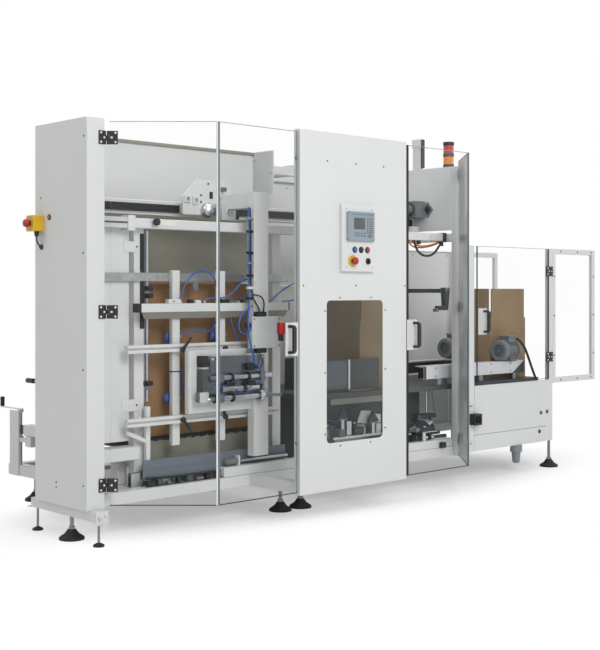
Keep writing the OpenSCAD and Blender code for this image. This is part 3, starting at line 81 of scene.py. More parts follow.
def reach(node):
    """The lowest and highest corner of a CAD node, in those millimetres."""
    low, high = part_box(node)
    home = Vector((CORNER.x, CORNER.y, 0))
    return (low - home) / MM, (high - home) / MM


class ErectorSizes(bpy.types.PropertyGroup):
    """Sizes of the small work that the solids leave out."""

    fold: FloatProperty(name="Fold", description="Outer radius of a folded sheet edge",
                        default=2.5 * MM, min=0.0, unit="LENGTH")
    tube_edge: FloatProperty(name="Tube edge", description="Corner radius of a square tube",
                             default=5 * MM, min=0.0, unit="LENGTH")
    small_edge: FloatProperty(name="Small edge", description="Broken edge of a machined part",
                              default=0.8 * MM, min=0.0, unit="LENGTH")
    screw: FloatProperty(name="Screw head", description="Diameter of a cover screw's head",
                         default=11 * MM, min=0.001, unit="LENGTH")
    air_hose: FloatProperty(name="Air hose", description="Diameter of a pneumatic hose",
                            default=8 * MM, min=0.001, unit="LENGTH")
    conduit: FloatProperty(name="Conduit", description="Diameter of a motor's cable conduit",
                           default=17 * MM, min=0.001, unit="LENGTH")
    board: FloatProperty(name="Blank thickness", description="Thickness of one folded blank",
                         default=7 * MM, min=0.002, unit="LENGTH")


class ErectorColours(bpy.types.PropertyGroup):
    """Colours of the painted and moulded parts."""

    coat: FloatVectorProperty(name="Powder coat", description="White coat of frame and panels",
                              subtype="COLOR", size=3, min=0, max=1, default=linear("#D9DBDA"))
    machine_grey: FloatVectorProperty(name="Motor grey", description="Enamel of the motors",
                                      subtype="COLOR", size=3, min=0, max=1,
                                      default=linear("#72777B"))
    # Painted shade: the grey of the white coat in shade, for sheets under the hood and behind the
    # doors.
    shade_grey: FloatVectorProperty(name="Liner", description="Grey lining under the hood",
                               subtype="COLOR", size=3, min=0, max=1, default=linear("#8E8E82"))
    hose: FloatVectorProperty(name="Air hose", description="Blue of the pneumatic hoses",
                              subtype="COLOR", size=3, min=0, max=1, default=linear("#2B5CA8"))
    board: FloatVectorProperty(name="Board", description="Brown of the corrugated board",
                               subtype="COLOR", size=3, min=0, max=1, default=linear("#957F62"))
    signal: FloatVectorProperty(name="Signal yellow", description="Yellow of the stop boxes",
                                subtype="COLOR", size=3, min=0, max=1, default=linear("#D9AC26"))
    tint: FloatVectorProperty(name="Window tint", description="Smoke tint of the front window",
                              subtype="COLOR", size=3, min=0, max=1, default=linear("#4A5250"))


def node(tree, kind, settings=None, links=None):
    """Adds a shader node: settings are its sockets or attributes, links what feeds its sockets."""
    new = tree.nodes.new(kind)
    for key, value in (settings or {}).items():
        if isinstance(key, int) or key in new.inputs:
            new.inputs[key].default_value = value
        else:
            setattr(new, key, value)
    for key, output in (links or {}).items():
        tree.links.new(output, new.inputs[key])
    return new


def blank_material(name):
    """A new material with an empty tree and its output."""
    material = bpy.data.materials.new(name)
    material.use_nodes = True
    material.node_tree.nodes.clear()
    return material.node_tree, node(material.node_tree, "ShaderNodeOutputMaterial")


def rgba(colour, gain=1.0):
    """A linear colour made lighter or darker, with full alpha."""
    return tuple(min(1.0, c * gain) for c in tuple(colour)[:3]) + (1.0,)


def surface(name, colour, rough, grain, relief, drift=0.06, cloud=300.0, metal=0.0,
            run=(1.0, 1.0, 1.0), coat=0.0, gloss_range=0.08):
    """An opaque finish: its tone drifts over `cloud` mm, and a grain of `grain` mm, drawn out
    along `run`, breaks up its gloss and gives `relief` mm of depth."""
    tree, out = blank_material(name)
    place = node(tree, "ShaderNodeTexCoord")
    pull = node(tree, "ShaderNodeMapping", {"Scale": run}, {"Vector": place.outputs["Object"]})
    patch = node(tree, "ShaderNodeTexNoise", {"Scale": 1 / (cloud * MM), "Detail": 4.0},
                 {"Vector": place.outputs["Object"]})
    tooth = node(tree, "ShaderNodeTexNoise", {"Scale": 1 / (grain * MM), "Detail": 3.0},
                 {"Vector": pull.outputs["Vector"]})
    tone = node(tree, "ShaderNodeValToRGB", {}, {"Fac": patch.outputs["Fac"]})
    tone.color_ramp.elements[0].position = 0.3
    tone.color_ramp.elements[0].color = rgba(colour, 1 - drift)
    tone.color_ramp.elements[1].position = 0.7
    tone.color_ramp.elements[1].color = rgba(colour, 1 + drift)
    gloss = node(tree, "ShaderNodeMapRange", {"To Min": rough - gloss_range,
                                              "To Max": rough + gloss_range},
                 {"Value": tooth.outputs["Fac"]})
    bump = node(tree, "ShaderNodeBump", {"Strength": 0.5, "Distance": relief * MM},
                {"Height": tooth.outputs["Fac"]})
    shader = node(tree, "ShaderNodeBsdfPrincipled", {"Metallic": metal, "Coat Weight": coat},
                  {"Base Color": tone.outputs["Color"], "Roughness": gloss.outputs["Result"],
                   "Normal": bump.outputs["Normal"]})
    tree.links.new(shader.outputs["BSDF"], out.inputs["Surface"])


def clear(name, colour, alpha, glance, rough):
    """A clear or tinted plastic sheet: `alpha` shows face on and `glance` at a low angle, with a
    faint cloud of scuffs."""
    tree, out = blank_material(name)
    place = node(tree, "ShaderNodeTexCoord")
    scuff = node(tree, "ShaderNodeTexNoise", {"Scale": 1 / (350 * MM), "Detail": 3.0},
                 {"Vector": place.outputs["Object"]})
    slant = node(tree, "ShaderNodeLayerWeight", {"Blend": 0.5})
    veil = node(tree, "ShaderNodeMapRange", {"From Min": 0.45, "To Min": alpha, "To Max": glance},
                {"Value": slant.outputs["Facing"]})
    cloud = node(tree, "ShaderNodeMapRange", {"From Min": 0.3, "From Max": 0.7, "To Min": 0.7,
                                              "To Max": 1.3}, {"Value": scuff.outputs["Fac"]})
    cover = node(tree, "ShaderNodeMath", {"operation": "MULTIPLY"},
                 {0: veil.outputs["Result"], 1: cloud.outputs["Result"]})
    shader = node(tree, "ShaderNodeBsdfPrincipled", {"Base Color": rgba(colour), "Roughness": rough,
                                                     "IOR": 1.58}, {"Alpha": cover.outputs[0]})
    tree.links.new(shader.outputs["BSDF"], out.inputs["Surface"])


def merge(target, shape):
    """Takes one shape into another and frees it."""
    scratch = bpy.data.meshes.new("scratch")
    shape.to_mesh(scratch)
    shape.free()
    target.from_mesh(scratch)
    bpy.data.meshes.remove(scratch)


class Piece:
    """Gathers shapes, each with its finish, into one object that rides on a body."""

    def __init__(self):
        self.mesh = bmesh.new()
        self.finishes = []

    def add(self, shape, finish):
        """Takes in one shape with its finish."""
        if finish not in self.finishes:
            self.finishes.append(finish)
        for face in shape.faces:
            face.material_index = self.finishes.index(finish)
        merge(self.mesh, shape)

    def place(self, name, body="frame", slot="white_paint", stands_for=()):
        """Makes the object, smooth over its rounded edges."""
        mesh = bpy.data.meshes.new(name)
        self.mesh.to_mesh(mesh)
        self.mesh.free()
        for finish in self.finishes:
            mesh.materials.append(bpy.data.materials[finish])
        mesh.shade_smooth()
        mesh.set_sharp_from_angle(angle=SHARP)
        made = bpy.data.objects.new(name, mesh)
        bpy.context.scene.collection.objects.link(made)
        made.modifiers.new("Even normals", "WEIGHTED_NORMAL").keep_sharp = True
        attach(made, body)
        if stands_for:
            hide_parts(*stands_for)


def round_edges(shape, edges, radius, steps=2):
    """Bevels edges by a radius in metres."""
    if radius > 0 and edges:
        bmesh.ops.bevel(shape, geom=edges, offset=radius, offset_type="OFFSET", segments=steps,
                        profile=0.5, affect="EDGES", clamp_overlap=True, material=-1)


def block(x, y, z, edge=1.0, steps=2):
    """A box over three spans in millimetres, with rounded edges."""
    shape = bmesh.new()
    bmesh.ops.create_cube(shape, size=1.0)
    size = Vector((x[1] - x[0], y[1] - y[0], z[1] - z[0])) * MM
    bmesh.ops.scale(shape, vec=size, verts=shape.verts)
    bmesh.ops.translate(shape, vec=at(sum(x) / 2, sum(y) / 2, sum(z) / 2), verts=shape.verts)
    round_edges(shape, shape.edges[:], min(edge * MM, min(size) * 0.45), steps)
    return shape


def turned(base, axis, profile, steps=28):
    """A turned part: (radius, height) pairs in millimetres along an axis from its base."""
    shape = bmesh.new()
    line = [shape.verts.new((r * MM, 0, h * MM)) for r, h in profile]
    for a, b in zip(line, line[1:]):
        shape.edges.new((a, b))
    bmesh.ops.spin(shape, geom=shape.verts[:] + shape.edges[:], cent=(0, 0, 0), axis=(0, 0, 1),
                   dvec=(0, 0, 0), angle=math.tau, steps=steps, use_merge=True)
    bmesh.ops.remove_doubles(shape, verts=shape.verts, dist=1e-6)
    bmesh.ops.recalc_face_normals(shape, faces=shape.faces)
    turn = Vector(axis).to_track_quat("Z", "Y").to_matrix().to_4x4()
    bmesh.ops.transform(shape, matrix=Matrix.Translation(base) @ turn, verts=shape.verts)
    return shape


def boss(base, axis, outline, steps=28):
    """A turned part closed by flat ends: its outline runs from the base to the far end."""
    return turned(base, axis, [(0, outline[0][1]), *outline, (0, outline[-1][1])], steps)


def rod(start, end, diameter, edge=0.6, steps=20):
    """A round bar between two places, with broken ends."""
    r, length = diameter / 2, (end - start).length / MM
    return boss(start, end - start, [(r - edge, 0), (r, edge), (r, length - edge),
                                     (r - edge, length)], steps)


def slab(corners, depth, edge=0.8, steps=2):
    """A flat outline pushed out by a depth vector in millimetres."""
    shape = bmesh.new()
    face = shape.faces.new([shape.verts.new(p) for p in corners])
    grown = bmesh.ops.extrude_face_region(shape, geom=[face])["geom"]
    bmesh.ops.translate(shape, vec=Vector(depth) * MM,
                        verts=[v for v in grown if isinstance(v, bmesh.types.BMVert)])
    bmesh.ops.recalc_face_normals(shape, faces=shape.faces)
    round_edges(shape, shape.edges[:], edge * MM, steps)
    return shape


def plate(y, outline, depth, edge=0.8):
    """A plate that faces the front: (x, z) corners at one depth y, in millimetres."""
    return slab([at(x, y, z) for x, z in outline], (0, depth, 0), edge)


def screw(base, axis, diameter):
    """A domed cover screw with a round recess."""
    r = diameter / MM / 2
    return boss(base, axis, [(r, 0), (r, r * 0.25), (r * 0.86, r * 0.55), (r * 0.5, r * 0.68),
                             (r * 0.48, r * 0.3)], 18)


def bolt(base, axis, flat, height=None):
    """A hexagon bolt head on its washer."""
    r, h = flat / 2, height or flat * 0.62
    shape = boss(base, axis, [(r * 1.5, 0), (r * 1.5, 1.2), (r * 1.12, 1.3)], 20)
    head = boss(base + Vector(axis) * 1.3 * MM, axis,
                [(r * 1.155, 0), (r * 1.155, h * 0.88), (r * 0.95, h)], 6)
    merge(shape, head)
    return shape


def softened(name, edge, steps=2, corner=35.0):
    """A merged copy of a CAD node with its sharp edges rounded by a radius in metres."""
    shape = bmesh.new()
    shape.from_mesh(frame["nodes"][name].data)
    bmesh.ops.remove_doubles(shape, verts=shape.verts, dist=1e-5)
    bmesh.ops.dissolve_limit(shape, angle_limit=math.radians(0.5), verts=shape.verts,
                             edges=shape.edges, use_dissolve_boundaries=False)
    sharp = [e for e in shape.edges if e.is_manifold and e.calc_face_angle() > math.radians(corner)]
    round_edges(shape, sharp, edge, steps)
    return shape


def route(points, steps=8):
    """A cubic B-spline led by places in millimetres, which starts and ends on the outer two."""
    spots = [at(*p) for p in points]
    spots = [spots[0] * 2 - spots[1]] + spots + [spots[-1] * 2 - spots[-2]]
    run = []
    for a, b, c, d in zip(spots, spots[1:], spots[2:], spots[3:]):
        for i in range(steps):
            t = i / steps
            run.append(((1 - t) ** 3 * a + (3 * t ** 3 - 6 * t ** 2 + 4) * b
                        + (3 * t - 3 * t ** 3 + 3 * t ** 2 + 1) * c + t ** 3 * d) / 6)
    return run + [spots[-2]]


def hose(name, points, diameter, finish, body="frame", slot="blue_rubber"):
    """A hose or cable held at both ends, sagging between them."""
    run = route(points)
    curve = bpy.data.curves.new(name, "CURVE")
    curve.dimensions = "3D"
    curve.bevel_depth = diameter / 2
    curve.bevel_resolution = 3
    curve.use_fill_caps = True
    spline = curve.splines.new("POLY")
    spline.points.add(len(run) - 1)
    for point, spot in zip(spline.points, run):
        point.co = (*spot, 1.0)
    spline.use_smooth = True
    curve.materials.append(bpy.data.materials[finish])
    made = bpy.data.objects.new(name, curve)
    bpy.context.scene.collection.objects.link(made)
    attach(made, body)


def dress(name, finish):
    """Gives a CAD node its finish."""
    target = frame["nodes"][name]
    target.data.materials.clear()
    target.data.materials.append(bpy.data.materials[finish])


def body_of(name):
    """The body a CAD node rides on."""
    for body, nodes in frame["record"]["behaviour"]["bodies"].items():
        if name in nodes:
            return body
    raise RuntimeError(f"{name} is on no body")


def soften_node(name, finish, edge, steps=2):
    """Stands a rounded copy of a CAD node in its place."""
    made = Piece()
    made.add(softened(name, edge, steps), finish)
    slot = next(p["material_slot"] for p in frame["record"]["subparts"] if p["node"] == name)
    made.place(name + ".worked", body_of(name), slot, (name,))


def boxes(made, *rows):
    """Adds boxes to a piece; each row gives three spans, an edge and a finish."""
    for x, y, z, edge, finish in rows:
        made.add(block(x, y, z, edge), finish)


def screws(made, spots, axis, diameter, finish):
    """Adds the same screw at several places."""
    for spot in spots:
        made.add(screw(at(*spot), axis, diameter), finish)


def motor(made, x, y, z, diameter, length, finish="machine_enamel"):
    """A fan-cooled motor along X, seen from its fan cover: grille, ribs, shield, box and feet."""
    r = diameter / 2
    core, cover, ribs = r - 9, length * 0.27, length * 0.5
    base = at(x, y, z)
    made.add(boss(base, RIGHT, [(r * 0.62, 9), (r * 0.62, 0), (r - 9, 0), (r - 3, 2), (r, 8),
                                (r, cover - 2), (r - 2, cover), (core, cover), (core, cover + ribs),
                                (r - 2, cover + ribs), (r, cover + ribs + 2), (r, cover + ribs + 9),
                                (core * 0.7, length)], 48), finish)
    made.add(boss(base, RIGHT, [(r * 0.61, 7.6), (r * 0.61, 8.8)], 32), "dark_enamel")
    for ring in (0.14, 0.3, 0.46, 0.6):
        made.add(turned(base, RIGHT, [(r * ring - 1.6, 2), (r * ring + 1.6, 2), (r * ring + 1.6, 5),
                                      (r * ring - 1.6, 5), (r * ring - 1.6, 2)], 28), finish)
    for i in range(4):
        turn = math.pi * i / 4
        arm = Vector((0, math.cos(turn), math.sin(turn))) * r * 0.6 * MM
        made.add(rod(base + RIGHT * 3.5 * MM - arm, base + RIGHT * 3.5 * MM + arm, 3.4, 0.4, 10),
                 finish)
    count, foot = 24, base + RIGHT * cover * MM
    rib = ((core - 2, -1.6), (r - 1, -1.1), (r - 1, 1.1), (core - 2, 1.6))
    for i in range(count):
        turn = math.tau * (i + 0.5) / count
        out = Vector((0, math.cos(turn), math.sin(turn)))
        side = Vector((0, -math.sin(turn), math.cos(turn)))
        made.add(slab([foot + (out * a + side * b) * MM for a, b in rib], (ribs, 0, 0), 0.5, 1),
                 finish)
    bx, half, top = x + length * 0.36, 37, z + core + 27
    boxes(made, ((bx, bx + 74), (y - half, y + half), (z + core - 6, top), 3, finish),
          ((bx - 4, bx + 78), (y - half - 4, y + half + 4), (top, top + 12), 3, finish))
    for dx in (3, 71):
        for dy in (-half + 2, half - 2):
            made.add(screw(at(bx + dx, y + dy, top + 12), UP, 7 * MM), "zinc_steel")
    for foot in (cover + 24, cover + ribs - 48):
        boxes(made,
              ((x + foot, x + foot + 24), (y - r * 0.85, y + r * 0.85), (z - r - 6, z - r + 6), 2,
               finish),
              ((x + foot + 3, x + foot + 21), (y - r * 0.7, y + r * 0.7),
               (z - r + 4, z - core * 0.6), 2, finish))


class ERECTOR_OT_stage(bpy.types.Operator):
    """Sets the pale floor, the soft studio lamps and the camera"""

    bl_idname = "erector.stage"
    bl_label = "Stage"

    def execute(self, context):
        scene = context.scene
        scene.view_settings.view_transform = "Standard"
        # Camera, fitted to the photograph's straight edges.
        camera = bpy.data.cameras.new("camera")
        camera.lens, camera.sensor_width = 66.36, 36.0
        camera.shift_x, camera.shift_y = 0.002, -0.0525
        camera.clip_end = 200.0
        eye = bpy.data.objects.new("camera", camera)
        eye.location = at(-3121.2, -4757.1, 1199.5)
        eye.rotation_euler = (math.radians(90), 0, math.radians(-43.30))
        scene.collection.objects.link(eye)
        scene.camera = eye

        # Lamps: power in watts, then size, place and aim in metres.
        for name, power, size, spot, aim in (
            ("key", 312.0, 4.0, (-2.6, -6.6, 5.2), (-0.2, 0, 0.9)),
            ("side", 56.0, 3.0, (-5.2, 0.6, 4.8), (-2.1, 0, 2.5)),
            ("top", 150.0, 5.0, (0.5, 0.5, 6.5), (0, 0, 0)),
            ("right", 55.0, 4.0, (6.0, -4.5, 3.5), (0.5, 0, 0.8)),
        ):
            lamp = bpy.data.lights.new(name, "AREA")
            lamp.energy, lamp.size = power, size
            holder = bpy.data.objects.new(name, lamp)
            holder.location = spot
            holder.rotation_euler = (Vector(aim) - Vector(spot)).to_track_quat("-Z", "Y").to_euler()
            scene.collection.objects.link(holder)

        # White studio: full strength to the eye, dimmer as light and in reflections.
        world = bpy.data.worlds.new("studio")
        world.use_nodes = True
        scene.world = world
        tree = world.node_tree
        tree.nodes.clear()
        path = node(tree, "ShaderNodeLightPath")
        seen = node(tree, "ShaderNodeMath", {"operation": "MAXIMUM"},
                    {0: path.outputs["Is Camera Ray"], 1: path.outputs["Is Transmission Ray"]})
        mirror = node(tree, "ShaderNodeMath", {"operation": "MULTIPLY", 1: 0.85},
                      {0: path.outputs["Is Glossy Ray"]})
        level = node(tree, "ShaderNodeMath", {"operation": "MAXIMUM"},
                     {0: seen.outputs[0], 1: mirror.outputs[0]})
        strength = node(tree, "ShaderNodeMapRange", {"To Min": 0.30, "To Max": 1.0},
                        {"Value": level.outputs[0]})
        sky = node(tree, "ShaderNodeBackground", {"Color": (1, 1, 1, 1)},
                   {"Strength": strength.outputs["Result"]})
        node(tree, "ShaderNodeOutputWorld", {}, {"Surface": sky.outputs[0]})

        # Painted studio floor: pale, matt, and lost in white a few metres from the machine.
        tree, out = blank_material("studio_floor")
        place = node(tree, "ShaderNodeTexCoord")
        dust = node(tree, "ShaderNodeTexNoise", {"Scale": 1 / (600 * MM), "Detail": 2.0},
                    {"Vector": place.outputs["Object"]})
        tone = node(tree, "ShaderNodeValToRGB", {}, {"Fac": dust.outputs["Fac"]})
        tone.color_ramp.elements[0].color = rgba(linear("#F6F6F6"))
        tone.color_ramp.elements[1].color = rgba(linear("#FBFBFB"))
        matt = node(tree, "ShaderNodeBsdfDiffuse", {}, {"Color": tone.outputs["Color"]})
        white = node(tree, "ShaderNodeEmission", {"Color": (1, 1, 1, 1), "Strength": 1.0})
        squeeze = node(tree, "ShaderNodeMapping", {"Scale": (1 / 4.2, 1 / 1.5, 1.0)},
                       {"Vector": place.outputs["Object"]})
        far = node(tree, "ShaderNodeVectorMath", {"operation": "LENGTH"},
                   {0: squeeze.outputs["Vector"]})
        fade = node(tree, "ShaderNodeMapRange", {"From Min": 0.38, "From Max": 0.64, "To Min": 0.34,
                                                 "interpolation_type": "SMOOTHSTEP"},
                    {"Value": far.outputs["Value"]})
        path = node(tree, "ShaderNodeLightPath")
        eyes = node(tree, "ShaderNodeMath", {"operation": "MAXIMUM"},
                    {0: path.outputs["Is Camera Ray"], 1: path.outputs["Is Glossy Ray"]})
        eyes = node(tree, "ShaderNodeMath", {"operation": "MAXIMUM"},
                    {0: eyes.outputs[0], 1: path.outputs["Is Transmission Ray"]})
        share = node(tree, "ShaderNodeMath", {"operation": "MULTIPLY"},
                     {0: fade.outputs["Result"], 1: eyes.outputs[0]})
        mixed = node(tree, "ShaderNodeMixShader", {},
                     {0: share.outputs[0], 1: matt.outputs[0], 2: white.outputs[0]})
        tree.links.new(mixed.outputs[0], out.inputs["Surface"])
        ground = bmesh.new()
        bmesh.ops.create_grid(ground, x_segments=1, y_segments=1, size=40.0)
        mesh = bpy.data.meshes.new("floor")
        ground.to_mesh(mesh)
        ground.free()
        mesh.materials.append(bpy.data.materials["studio_floor"])
        floor = bpy.data.objects.new("floor", mesh)
        scene.collection.objects.link(floor)
        return {"FINISHED"}


class ERECTOR_OT_finishes(bpy.types.Operator):
    """Mixes the finishes that the pieces wear"""

    bl_idname = "erector.finishes"
    bl_label = "Finishes"

    def execute(self, context):
        hue = context.scene.erector_colours
        # Powder coat, satin: an even white with a slight orange peel that softens the lamps.
        surface("powder_coat", hue.coat, 0.42, 1.6, 0.05, drift=0.02, cloud=700)
        # Powder coat in its shade tone: painted shade for the hood's rim and back sheet, the lips
        # and the sheets that the doors cover.
        surface("liner_coat", hue.shade_grey, 0.5, 1.6, 0.05, drift=0.05, cloud=260)
        # Glass-filled nylon, moulded: near black with a fine eroded grain and a dull sheen.
        surface("black_nylon", linear("#1B1C1E"), 0.46, 0.9, 0.06, drift=0.12, cloud=60)
        # Nitrile rubber, moulded: black, dusty and quite matt.
        surface("black_rubber", linear("#161617"), 0.72, 1.4, 0.08, drift=0.18, cloud=40)
        # Zinc-plated steel, drawn: bright with fine lines along the bar.
        surface("zinc_steel", linear("#C4C7C9"), 0.27, 1.1, 0.02, drift=0.08, cloud=90, metal=1.0,
                run=(1, 1, 0.12), gloss_range=0.1)
        # Hot-dip galvanised steel: grey spangle of 10 to 20 mm patches.
        surface("galvanised_steel", linear("#A9ACAD"), 0.42, 14.0, 0.02, drift=0.14, cloud=22,
                metal=1.0, gloss_range=0.14)
        # Anodised aluminium extrusion: pale, even, drawn along its length.
        surface("anodised_aluminium", linear("#D5D7D8"), 0.34, 1.0, 0.02, drift=0.04, cloud=160,
                metal=1.0, run=(0.08, 1, 1))
        # Chromed edge, polished: mirrors the studio.
        surface("polished_edge", linear("#E4E6E6"), 0.12, 2.0, 0.005, drift=0.05, cloud=120,
                metal=1.0, gloss_range=0.04)
        # Machine enamel on cast aluminium: mid grey with a low gloss.
        surface("machine_enamel", hue.machine_grey, 0.44, 2.6, 0.12, drift=0.08, cloud=70)
        # Satin aluminium, brushed plate: pale, with a soft broad gleam.
        surface("satin_aluminium", linear("#D2D4D5"), 0.42, 1.2, 0.02, drift=0.04, cloud=140,
                metal=0.35, run=(0.1, 1, 1))
        # Drawn steel, oiled: darker and bluer than the plated parts.
        surface("drawn_steel", linear("#7C838A"), 0.34, 1.2, 0.02, drift=0.1, cloud=70, metal=0.9,
                run=(1, 1, 0.1))
        # Blackened screw heads: small dark dots on the white sheets.
        surface("dark_screw", linear("#4B4E51"), 0.42, 0.8, 0.02, drift=0.1, cloud=12, metal=0.5)
        # Slate enamel on folded trays: cool blue grey, dull.
        surface("slate_enamel", linear("#6A737B"), 0.5, 1.8, 0.06, drift=0.08, cloud=180)
        # Lamp rings, moulded: charcoal with a satin skin.
        surface("lamp_grey", linear("#4A5055"), 0.4, 0.9, 0.04, drift=0.05, cloud=40)
        # Board in the stack: browner and darker than the opened cases, a painted shade for the hood
        # over it.
        surface("stack_board", linear("#977653"), 0.86, 2.2, 0.12, drift=0.12, cloud=110,
                run=(1, 1, 0.3), gloss_range=0.04)
        # Matt dark enamel on plate: takes little light inside the machine.
        surface("dark_enamel", linear("#4A4E50"), 0.55, 2.0, 0.08, drift=0.12, cloud=160)
        # Polycarbonate ABS housing, moulded: pale cool grey, fine texture.
        surface("grey_housing", linear("#CBCECE"), 0.4, 0.8, 0.05, drift=0.03, cloud=80)
        # Terminal housing, painted moulding: blue grey.
        surface("terminal_grey", linear("#8C979D"), 0.42, 0.8, 0.05, drift=0.03, cloud=60)
        # Membrane keys, printed film: plain fields of colour.
        surface("blue_key", linear("#4B7FA6"), 0.36, 0.9, 0.03, drift=0.04, cloud=30)
        surface("dark_key", linear("#4A4F52"), 0.4, 0.9, 0.03, drift=0.06, cloud=30)
        # Liquid-crystal screen behind glass: dark grey green, glossy.
        surface("screen_glass", linear("#3E4A48"), 0.14, 6.0, 0.005, drift=0.1, cloud=60, coat=0.4,
                gloss_range=0.04)
        # Signal plastics, moulded and glossy.
        surface("signal_yellow", hue.signal, 0.34, 1.2, 0.04, drift=0.05, cloud=50)
        surface("signal_red", linear("#A81E1B"), 0.3, 1.2, 0.04, drift=0.06, cloud=40)
        surface("signal_blue", linear("#2C63B0"), 0.3, 1.2, 0.04, drift=0.06, cloud=40)
        # Lamp lenses, clear moulded plastic over ribs: deep, glossy colour.
        surface("red_lens", linear("#C2362C"), 0.2, 3.0, 0.1, drift=0.12, cloud=24, coat=0.5)
        surface("amber_lens", linear("#E2902B"), 0.2, 3.0, 0.1, drift=0.12, cloud=24, coat=0.5)
        surface("blue_lens", linear("#3E5FB4"), 0.2, 3.0, 0.1, drift=0.12, cloud=24, coat=0.5)
        # Polyurethane hose, extruded: saturated blue with a soft gloss.
        surface("blue_hose", hue.hose, 0.36, 1.5, 0.03, drift=0.08, cloud=60)
        surface("orange_hose", linear("#D9772B"), 0.38, 1.5, 0.03, drift=0.08, cloud=60)
        surface("black_cable", linear("#1A1A1C"), 0.52, 1.4, 0.06, drift=0.1, cloud=50)
        # Acetal fitting, moulded: off white, waxy.
        surface("white_acetal", linear("#E6E6E1"), 0.38, 1.0, 0.03, drift=0.03, cloud=40)
        # Brass lock barrel, turned.
        surface("brass", linear("#B99B5B"), 0.3, 0.8, 0.02, drift=0.1, cloud=20, metal=1.0)
        # Kraft corrugated board: brown liner with pressed fibres, drawn out along its height.
        surface("kraft_board", hue.board, 0.85, 2.2, 0.12, drift=0.1, cloud=120, run=(1, 1, 0.3),
                gloss_range=0.04)
        # Clear polycarbonate sheet: nearly invisible face on, with a faint milky veil.
        clear("clear_polycarbonate", linear("#8C959B"), 0.012, 0.8, 0.3)
        # Smoked polycarbonate of the front window: a grey veil that dulls the board behind it.
        clear("smoked_polycarbonate", hue.tint, 0.2, 0.45, 0.08)
        # Cut edge of the clear sheet: the long light path makes it a grey green line.
        surface("sheet_edge", linear("#8E9893"), 0.22, 2.0, 0.02, drift=0.1, cloud=80)
        surface("dark_edge", linear("#2A2D2E"), 0.4, 2.0, 0.04, drift=0.1, cloud=80)
        # Gloss polycarbonate bowl: smoky grey.
        surface("bowl_plastic", linear("#7D8387"), 0.2, 3.0, 0.03, drift=0.08, cloud=40, coat=0.3)
        return {"FINISHED"}


class ERECTOR_OT_framework(bpy.types.Operator):
    """Rounds and paints the tubes, panels and posts of the frame"""

    bl_idname = "erector.framework"
    bl_label = "Framework"

    def execute(self, context):
        size = context.scene.erector_sizes
        for name in ("base_rails", "base_crossmembers", "frame_posts", "top_rails",
                     "top_crossmembers", "magazine_posts", "magazine_beams", "magazine_bearers",
                     "bed_rail"):
            soften_node(name, "powder_coat", size.tube_edge)
        for name in ("end_pillar", "outfeed_panels", "guard_frames"):
            soften_node(name, "powder_coat", size.fold)
        for name in ("inner_panels", "end_wall", "trolley", "carriage_column", "head_plate",
                     "suction_beam", "suction_bars", "slotted_rails", "left_door_plate",
                     "right_door_plate", "outfeed_door_plate"):
            soften_node(name, "powder_coat", size.small_edge)
        for name in ("bed_plate", "bed_box", "side_guides"):
            soften_node(name, "dark_enamel", size.small_edge)
        soften_node("belt_units", "satin_aluminium", size.fold)
        soften_node("steel_channels", "galvanised_steel", size.small_edge)
        soften_node("transfer_rail", "black_nylon", size.small_edge)
        soften_node("drive_belts", "black_rubber", size.small_edge)
        soften_node("guide_rods", "drawn_steel", size.small_edge)
        soften_node("flap_folders", "zinc_steel", size.small_edge)
        soften_node("head_tooling", "drawn_steel", size.small_edge)
        soften_node("junction_box", "grey_housing", size.fold)
        for name in ("hinge_leaves", "left_door_fittings", "right_door_fittings",
                     "outfeed_door_fittings"):
            soften_node(name, "black_nylon", size.small_edge * 2)

        made = Piece()
        x0 = reach("end_pillar")[0].x
        screws(made, [(x0, y, z) for y, z in ((26, 1927), (406, 1656), (29, 1378), (31, 828),
                                              (30, 283), (265, 275), (265, 250))], LEFT,
               size.screw * 0.8, "dark_screw")
        lock = at(x0, 327, 1559)
        made.add(boss(lock, LEFT, [(14, 0), (14, 3), (12, 5)]), "black_nylon")
        made.add(boss(lock + LEFT * 5 * MM, LEFT, [(8, 0), (8, 2), (7, 3)]), "brass")
        boxes(made, ((x0 - 8.6, x0 - 8), (320, 334), (1558, 1560), 0.2, "black_nylon"),
              ((16, 84), (-55, -50), (104, 168), 2, "powder_coat"),
              ((30, 70), (-76, -50), (104, 109), 1, "powder_coat"),
              ((16, 84), (535, 562), (117, 122), 1, "powder_coat"))
        made.add(bolt(at(34, -55, 136), FRONT, 13), "zinc_steel")
        made.add(bolt(at(66, -55, 146), FRONT, 10), "zinc_steel")
        made.place("pillar_fittings", "frame", "bright_steel")

        # Hood: folded rim along its top and the back sheet below it, both grey as painted shade,
        # end plate and the stay behind the front panel.
        hood = Piece()
        boxes(hood, ((100, 1549), (584, 594), (2000, 2017), 1.5, "liner_coat"),
              ((347, 1548), (592.4, 594.2), (1266, 1688), 0.4, "liner_coat"),
              ((1547, 1550), (410, 594), (1762, 2017), 0.6, "powder_coat"),
              ((1550, 1824), (430, 470), (1880, 1930), 3, "powder_coat"))
        hood.add(bolt(at(1547, 573, 1971), LEFT, 10), "zinc_steel")
        hood.add(bolt(at(1547, 432, 1889), LEFT, 10), "zinc_steel")
        hood.place("hood_rim", "frame", "white_paint")

        # Folded cover sheets on the inside of the rear guards, with their screws.
        rear = Piece()
        for wide, y, tall in (((1412, 2732), 866, (1232, 1886)), ((2914, 3721), 890, (598, 1486))):
            boxes(rear, (wide, (y, y + 3.4), tall, 0.8, "powder_coat"),
                  (wide, (y - 10, y + 1), (tall[1] - 4, tall[1]), 0.8, "powder_coat"),
                  (wide, (y - 10, y + 1), (tall[0], tall[0] + 4), 0.8, "powder_coat"))
            screws(rear, [(x, y, z) for x in (wide[0] + 30, sum(wide) / 2,
                                              wide[1] - 30) for z in (tall[0] + 30, tall[1] - 30)],
                   FRONT, size.screw * 0.8, "dark_screw")
        rear.place("rear_cover_sheets", "frame", "white_paint")
        return {"FINISHED"}


